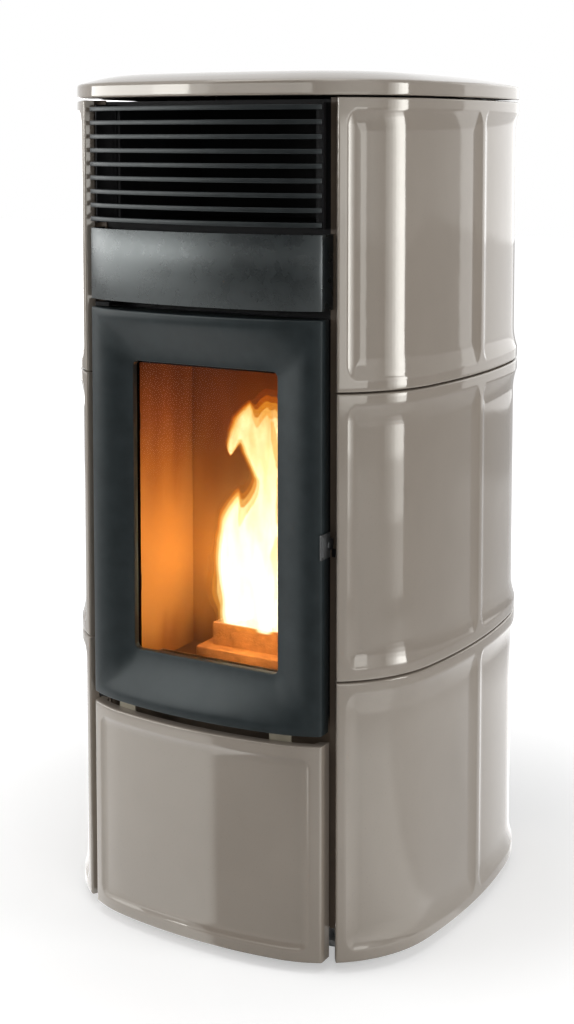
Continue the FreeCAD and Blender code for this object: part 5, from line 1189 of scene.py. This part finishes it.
SKINS = (
    ("flame_haze", 1.12, 2.2, 0.05, ((1.0, 0.30, 0.03), (1.0, 0.22, 0.02), (0.8, 0.10, 0.01))),
    ("flame_skin", 0.98, 3.0, 0.13, ((1.0, 0.44, 0.06), (1.0, 0.32, 0.03), (0.9, 0.20, 0.01))),
    ("flame_body", 0.86, 4.0, 0.25, ((1.0, 0.70, 0.26), (0.9, 0.46, 0.09), (0.6, 0.24, 0.02))),
    ("flame_heart", 0.72, 5.0, 0.40, ((1.0, 0.88, 0.58), (0.9, 0.68, 0.30), (0.55, 0.34, 0.08))),
    ("flame_core", 0.56, 6.0, 0.70, ((1.0, 0.95, 0.80), (0.9, 0.80, 0.50), (0.55, 0.44, 0.20))),
)
for name, shrink, strength, alpha, colours in SKINS:
    flame = bmesh.new()
    for number, tongue in enumerate(TONGUES):
        add_tongue(flame, tongue, shrink, number * SEED_STEP)
    material = make_flame_material(name, strength, alpha, colours)
    finish_piece(name, melted(flame, FLAME_VOXEL), material, "brazier", sharp=180.0)

# %% [markdown]
# ## Finishes for the rest of the frame
# Every construction piece that still shows keeps its own shape and gets the material of its slot.
# Six pieces differ from their slot. The tabs that carry the lower panel have the dull yellow tint of
# passivated zinc, the clips behind the glass are dark, the firebox is brown from the heat, the hopper
# is black paint, which also stands in for the shade in the gap under the cover where its wall shows,
# and the rear panel has a satin black.
# The front frame is black behind the grille and brown behind the lower panel, where it shows through
# the gap, so its material changes with the height.

# %% Materials on the construction pieces


def make_frame_paint():
    material, shader, place = new_material("frame_paint")
    level = height_of(material, place, 0.30, 0.34)
    paint(material, shader, level, [(0.3, (0.150, 0.112, 0.080)), (0.7, (0.0075, 0.0075, 0.008))])
    shader.inputs["Specular IOR Level"].default_value = 0.2
    grain = noise_of(material, place, 900.0, 5.0, 0.6)
    roughen(material, shader, grain, 0.45, 0.65)
    bump(material, shader, grain, 1.0, 0.0001)
    return material


BY_SLOT = {
    "taupe_glaze": glaze, "brown_paint": brown_paint, "black_paint": black_paint,
    "anthracite_paint": anthracite, "door_iron": door_iron, "latch_steel": latch_steel,
    "window_glass": window_glass, "seal_rope": seal_rope, "zinc_steel": zinc, "stove_steel": stove_steel,
    "fire_brick": fire_brick, "pot_iron": pot_iron, "igniter_ceramic": igniter_ceramic,
    "motor_paint": motor_paint, "board_resin": board_resin, "black_plastic": black_plastic,
}
BY_NODE = {
    "panel_brackets": tab_zinc, "front_frame": make_frame_paint(), "glass_clips": stove_steel,
    # The hopper's black paint is partly painted shade for the gap under the cover.
    "firebox_shell": hearth_steel, "hopper": black_paint, "rear_panel": rear_paint,
}
painted = 0
for node_name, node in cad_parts.items():
    for used in node.material_slots:
        used.material = BY_NODE.get(node_name, BY_SLOT[used.material.name.split(".")[0]])
        painted += 1
print("slots painted on construction pieces:", painted)

# %% [markdown]
# ## Studio
# The photograph was taken in a white studio. A tall softbox on the right with one fading edge makes
# the upright highlight on the tiles, another on the left lights the cover and the fascia, a white
# reflector stands at the front left, and the room behind is white. Beside the camera the room is
# dark, and that shows as the darker third of the lower panel. Glossy surfaces see this ring of light
# and dark, so the same ramp round the stove is used for the world and for the floor. The camera sees
# both as white, and the floor still takes the soft shadow of the stove.

# %% Ring of light and dark
RING = (
    (-180, 1.45), (-140, 1.20), (-90, 0.95), (-58, 1.50), (-28.6, 1.38), (-27.0, 0.05), (4, 0.08),
    (34, 0.85), (50, 1.25), (72, 1.25), (82, 0.75), (136, 0.60), (142, 0.74), (160, 1.05), (180, 1.45),
)
RING_SCALE = 1.6


def ring_light(owner, direction):
    """Brightness by the angle round the stove, from the front, over the ring's scale."""
    quarter = (0.0, 0.0, math.pi / 2)
    turned = add_node(owner, "ShaderNodeMapping", {"Vector": direction, "Rotation": quarter})
    around = add_node(
        owner, "ShaderNodeTexGradient", {"Vector": turned.outputs["Vector"]}, gradient_type="RADIAL")
    stops = [((angle + 180) / 360, (level / RING_SCALE,) * 3) for angle, level in RING]
    return ramp(owner, around.outputs["Color"], stops)


def mix_numbers(owner, factor, first, second):
    """The first number where the factor is 0 and the second where it is 1."""
    return add_node(owner, "ShaderNodeMix", {"Factor": factor, 2: first, 3: second}).outputs[0]


# %% [markdown]
# The floor's own colour is a pale grey. For the camera it gains light with the distance from the
# stove, so that the horizon melts into the background. The ring on the floor is centred a little to
# the right, so that its dark part begins where the lower panel turns dark in the photograph, and it
# gets dimmer beyond a metre.

# %% Floor and world


def make_floor():
    half_size, ring_shift, far_share = 14.0, (-0.186, 0.0, 0.0), 0.35
    material, shader, place = new_material("studio_floor")
    grain = noise_of(material, place, 3.0)
    paint(material, shader, grain, [(0.3, (0.70, 0.70, 0.70)), (0.7, (0.73, 0.73, 0.73))])
    shader.inputs["Roughness"].default_value = 0.9
    shader.inputs["Specular IOR Level"].default_value = 0.1
    away = add_node(material, "ShaderNodeVectorMath", {0: place}, operation="LENGTH").outputs["Value"]
    lift = add_node(material, "ShaderNodeMapRange", {
        "Value": away, "From Min": 0.30, "From Max": 1.4, "To Min": 0.42, "To Max": 1.0,
    }, interpolation_type="SMOOTHSTEP").outputs["Result"]
    moved = add_node(material, "ShaderNodeVectorMath", {0: place, 1: ring_shift}, operation="ADD")
    near = add_node(material, "ShaderNodeMapRange", {
        "Value": away, "From Min": 1.0, "From Max": 1.25,
        "To Min": RING_SCALE, "To Max": far_share * RING_SCALE,
    }).outputs["Result"]
    ring = combine(material, "MULTIPLY", ring_light(material, moved.outputs["Vector"]), near)
    path = add_node(material, "ShaderNodeLightPath").outputs
    shine = combine(material, "MULTIPLY", path["Is Glossy Ray"], ring)
    glow = mix_numbers(material, path["Is Camera Ray"], shine, lift)
    connect(material, glow, shader.inputs["Emission Strength"])
    shader.inputs["Emission Color"].default_value = (1.0, 1.0, 1.0, 1.0)
    bm = bmesh.new()
    bmesh.ops.create_grid(bm, x_segments=1, y_segments=1, size=half_size)
    floor = link_mesh("floor", bm)
    floor.data.materials.append(material)


def make_world():
    """White for the camera and through glass, the ring for reflections, dim for plain light."""
    plain_level = 0.16
    world = bpy.data.worlds.new("studio")
    world.use_nodes = True
    bpy.context.scene.world = world
    background = world.node_tree.nodes["Background"]
    background.inputs["Color"].default_value = (1.0, 1.0, 1.0, 1.0)
    direction = add_node(world, "ShaderNodeTexCoord").outputs["Generated"]
    ring = combine(world, "MULTIPLY", ring_light(world, direction), RING_SCALE)
    path = add_node(world, "ShaderNodeLightPath").outputs
    level = mix_numbers(world, path["Is Glossy Ray"], plain_level, ring)
    level = mix_numbers(world, path["Is Transmission Ray"], level, 1.0)
    level = mix_numbers(world, path["Is Camera Ray"], level, 1.0)
    connect(world, level, background.inputs["Strength"])


make_floor()
make_world()

# %% [markdown]
# A soft light is given by its angle round the stove, as on a plan of the studio, its distance, and
# the brightness of its face. The power follows from the brightness and the area. The right softbox
# is a row of upright strips that get brighter from one to the next, which gives its highlight one
# soft edge and one crisp edge. Each strip gets dimmer toward the floor. Two panels stand so high that
# the flat cover would mirror them, so they are hidden from glossy surfaces. Two others are seen by
# glossy surfaces only: a narrow band in front, and a high softbox that lays its sheen on the hollow
# border of the door and is linked to the door alone. Four small orange lamps add the fire's light.

# %% Lights


def add_light(name, angle, distance, heights, width, level):
    """An upright soft light at an angle from the front, between two heights."""
    low, high = heights
    turn = math.radians(angle)
    data = bpy.data.lights.new(name, "AREA")
    data.shape = "RECTANGLE"
    data.size, data.size_y = width, high - low
    data.energy = level * math.pi * width * (high - low)
    light = link_object(name, data)
    light.location = (distance * math.sin(turn), -distance * math.cos(turn), (low + high) / 2)
    away = Vector((-light.location.x, -light.location.y, 0.0))
    light.rotation_euler = away.to_track_quat("-Z", "Y").to_euler()
    light.visible_camera = False
    return light


STRIP_START, STRIP_TURN, STRIP_WIDTH, STRIP_AWAY = 80.0, 3.0, 0.092, 1.75
STRIP_LEVELS = (1.2, 2.4, 4.6, 8.2, 10.0, 10.0)
STRIP_PARTS = ((0.50, 1.30, 1.0), (0.36, 0.50, 0.62), (0.22, 0.36, 0.30), (0.04, 0.22, 0.12))
for number, level in enumerate(STRIP_LEVELS):
    angle = STRIP_START + STRIP_TURN * number
    for part, (low, high, share) in enumerate(STRIP_PARTS):
        name = "right_strip_%d_%d" % (number + 1, part + 1)
        add_light(name, angle, STRIP_AWAY, (low, high), STRIP_WIDTH, level * share)
PANELS = (
    ("right_fill", 50.0, 3.4, (0.2, 1.12), 1.9, 2.2),
    ("right_fill_high", 50.0, 3.4, (1.12, 2.2), 1.9, 2.2),
    ("left_softbox", -57.0, 2.8, (0.95, 1.34), 2.85, 6.3),
    ("left_softbox_high", -57.0, 2.8, (1.34, 1.75), 2.85, 5.6),
    ("left_softbox_foot", -61.0, 2.8, (0.40, 0.95), 1.9, 2.6),
    ("left_reflector", -46.0, 3.2, (0.05, 0.40), 2.0, 1.3),
    ("left_rear_panel", -130.0, 3.0, (0.2, 1.1), 1.6, 2.0),
    ("front_softbox", -38.0, 2.6, (1.6, 2.8), 1.5, 8.5),
    ("front_band", -10.0, 3.0, (1.12, 1.30), 3.6, 1.8),
    ("rear_panel_light", 162.0, 3.0, (0.2, 2.4), 2.2, 1.0),
)
panels = {panel[0]: add_light(*panel) for panel in PANELS}
for name in ("right_fill_high", "left_softbox_high"):
    panels[name].visible_glossy = False
for name in ("front_softbox", "front_band"):
    panels[name].visible_diffuse = False
door_only = bpy.data.collections.new("lit_by_front_softbox")
door_only.objects.link(door_piece)
panels["front_softbox"].light_linking.receiver_collection = door_only

above = bpy.data.lights.new("top_light", "AREA")
above.shape = "RECTANGLE"
above.size, above.size_y = 2.4, 2.0
above.energy = 30.0
link_object("top_light", above).location = (0.0, -0.6, 3.2)

FIRE_GLOWS = (
    ("fire_glow_low", 0.010, 0.092, 0.430, 1.5, (1.0, 0.48, 0.10)),
    ("fire_glow_middle", 0.0, 0.130, 0.530, 1.1, (1.0, 0.43, 0.07)),
    ("fire_glow_left", -0.056, 0.170, 0.468, 0.76, (1.0, 0.45, 0.08)),
    ("fire_glow_high", -0.015, 0.130, 0.680, 0.6, (1.0, 0.32, 0.04)),
)
for name, x, depth, height, power, colour in FIRE_GLOWS:
    glow = bpy.data.lights.new(name, "POINT")
    glow.energy = power
    glow.color = colour
    glow.shadow_soft_size = 0.03
    lamp = link_object(name, glow)
    lamp.location = (x, FRONT_Y + depth, height)
    lamp.visible_camera = False
    lamp.visible_transmission = False
    lamp.visible_glossy = False
print("lights:", len(bpy.data.lights))

# %% [markdown]
# ## Camera
# The camera stands at the front right, a little below the height of the cover, with a long lens. It
# looks down only a little, and the lens shift does the rest, so that upright edges stay upright.

# %% Camera
camera_data = bpy.data.cameras.new("camera")
camera_data.lens = 57.0
camera_data.sensor_width = 36.0
camera_data.shift_x = -0.0041
camera_data.shift_y = -0.24
camera_data.clip_end = 60.0
camera = link_object("camera", camera_data)
camera.location = (1.1284, -2.0142, 1.0667)
camera.rotation_euler = (math.pi / 2 - 0.0804, 0.0, 0.5183)
scene = bpy.context.scene
scene.camera = camera
scene.view_settings.view_transform = "Standard"
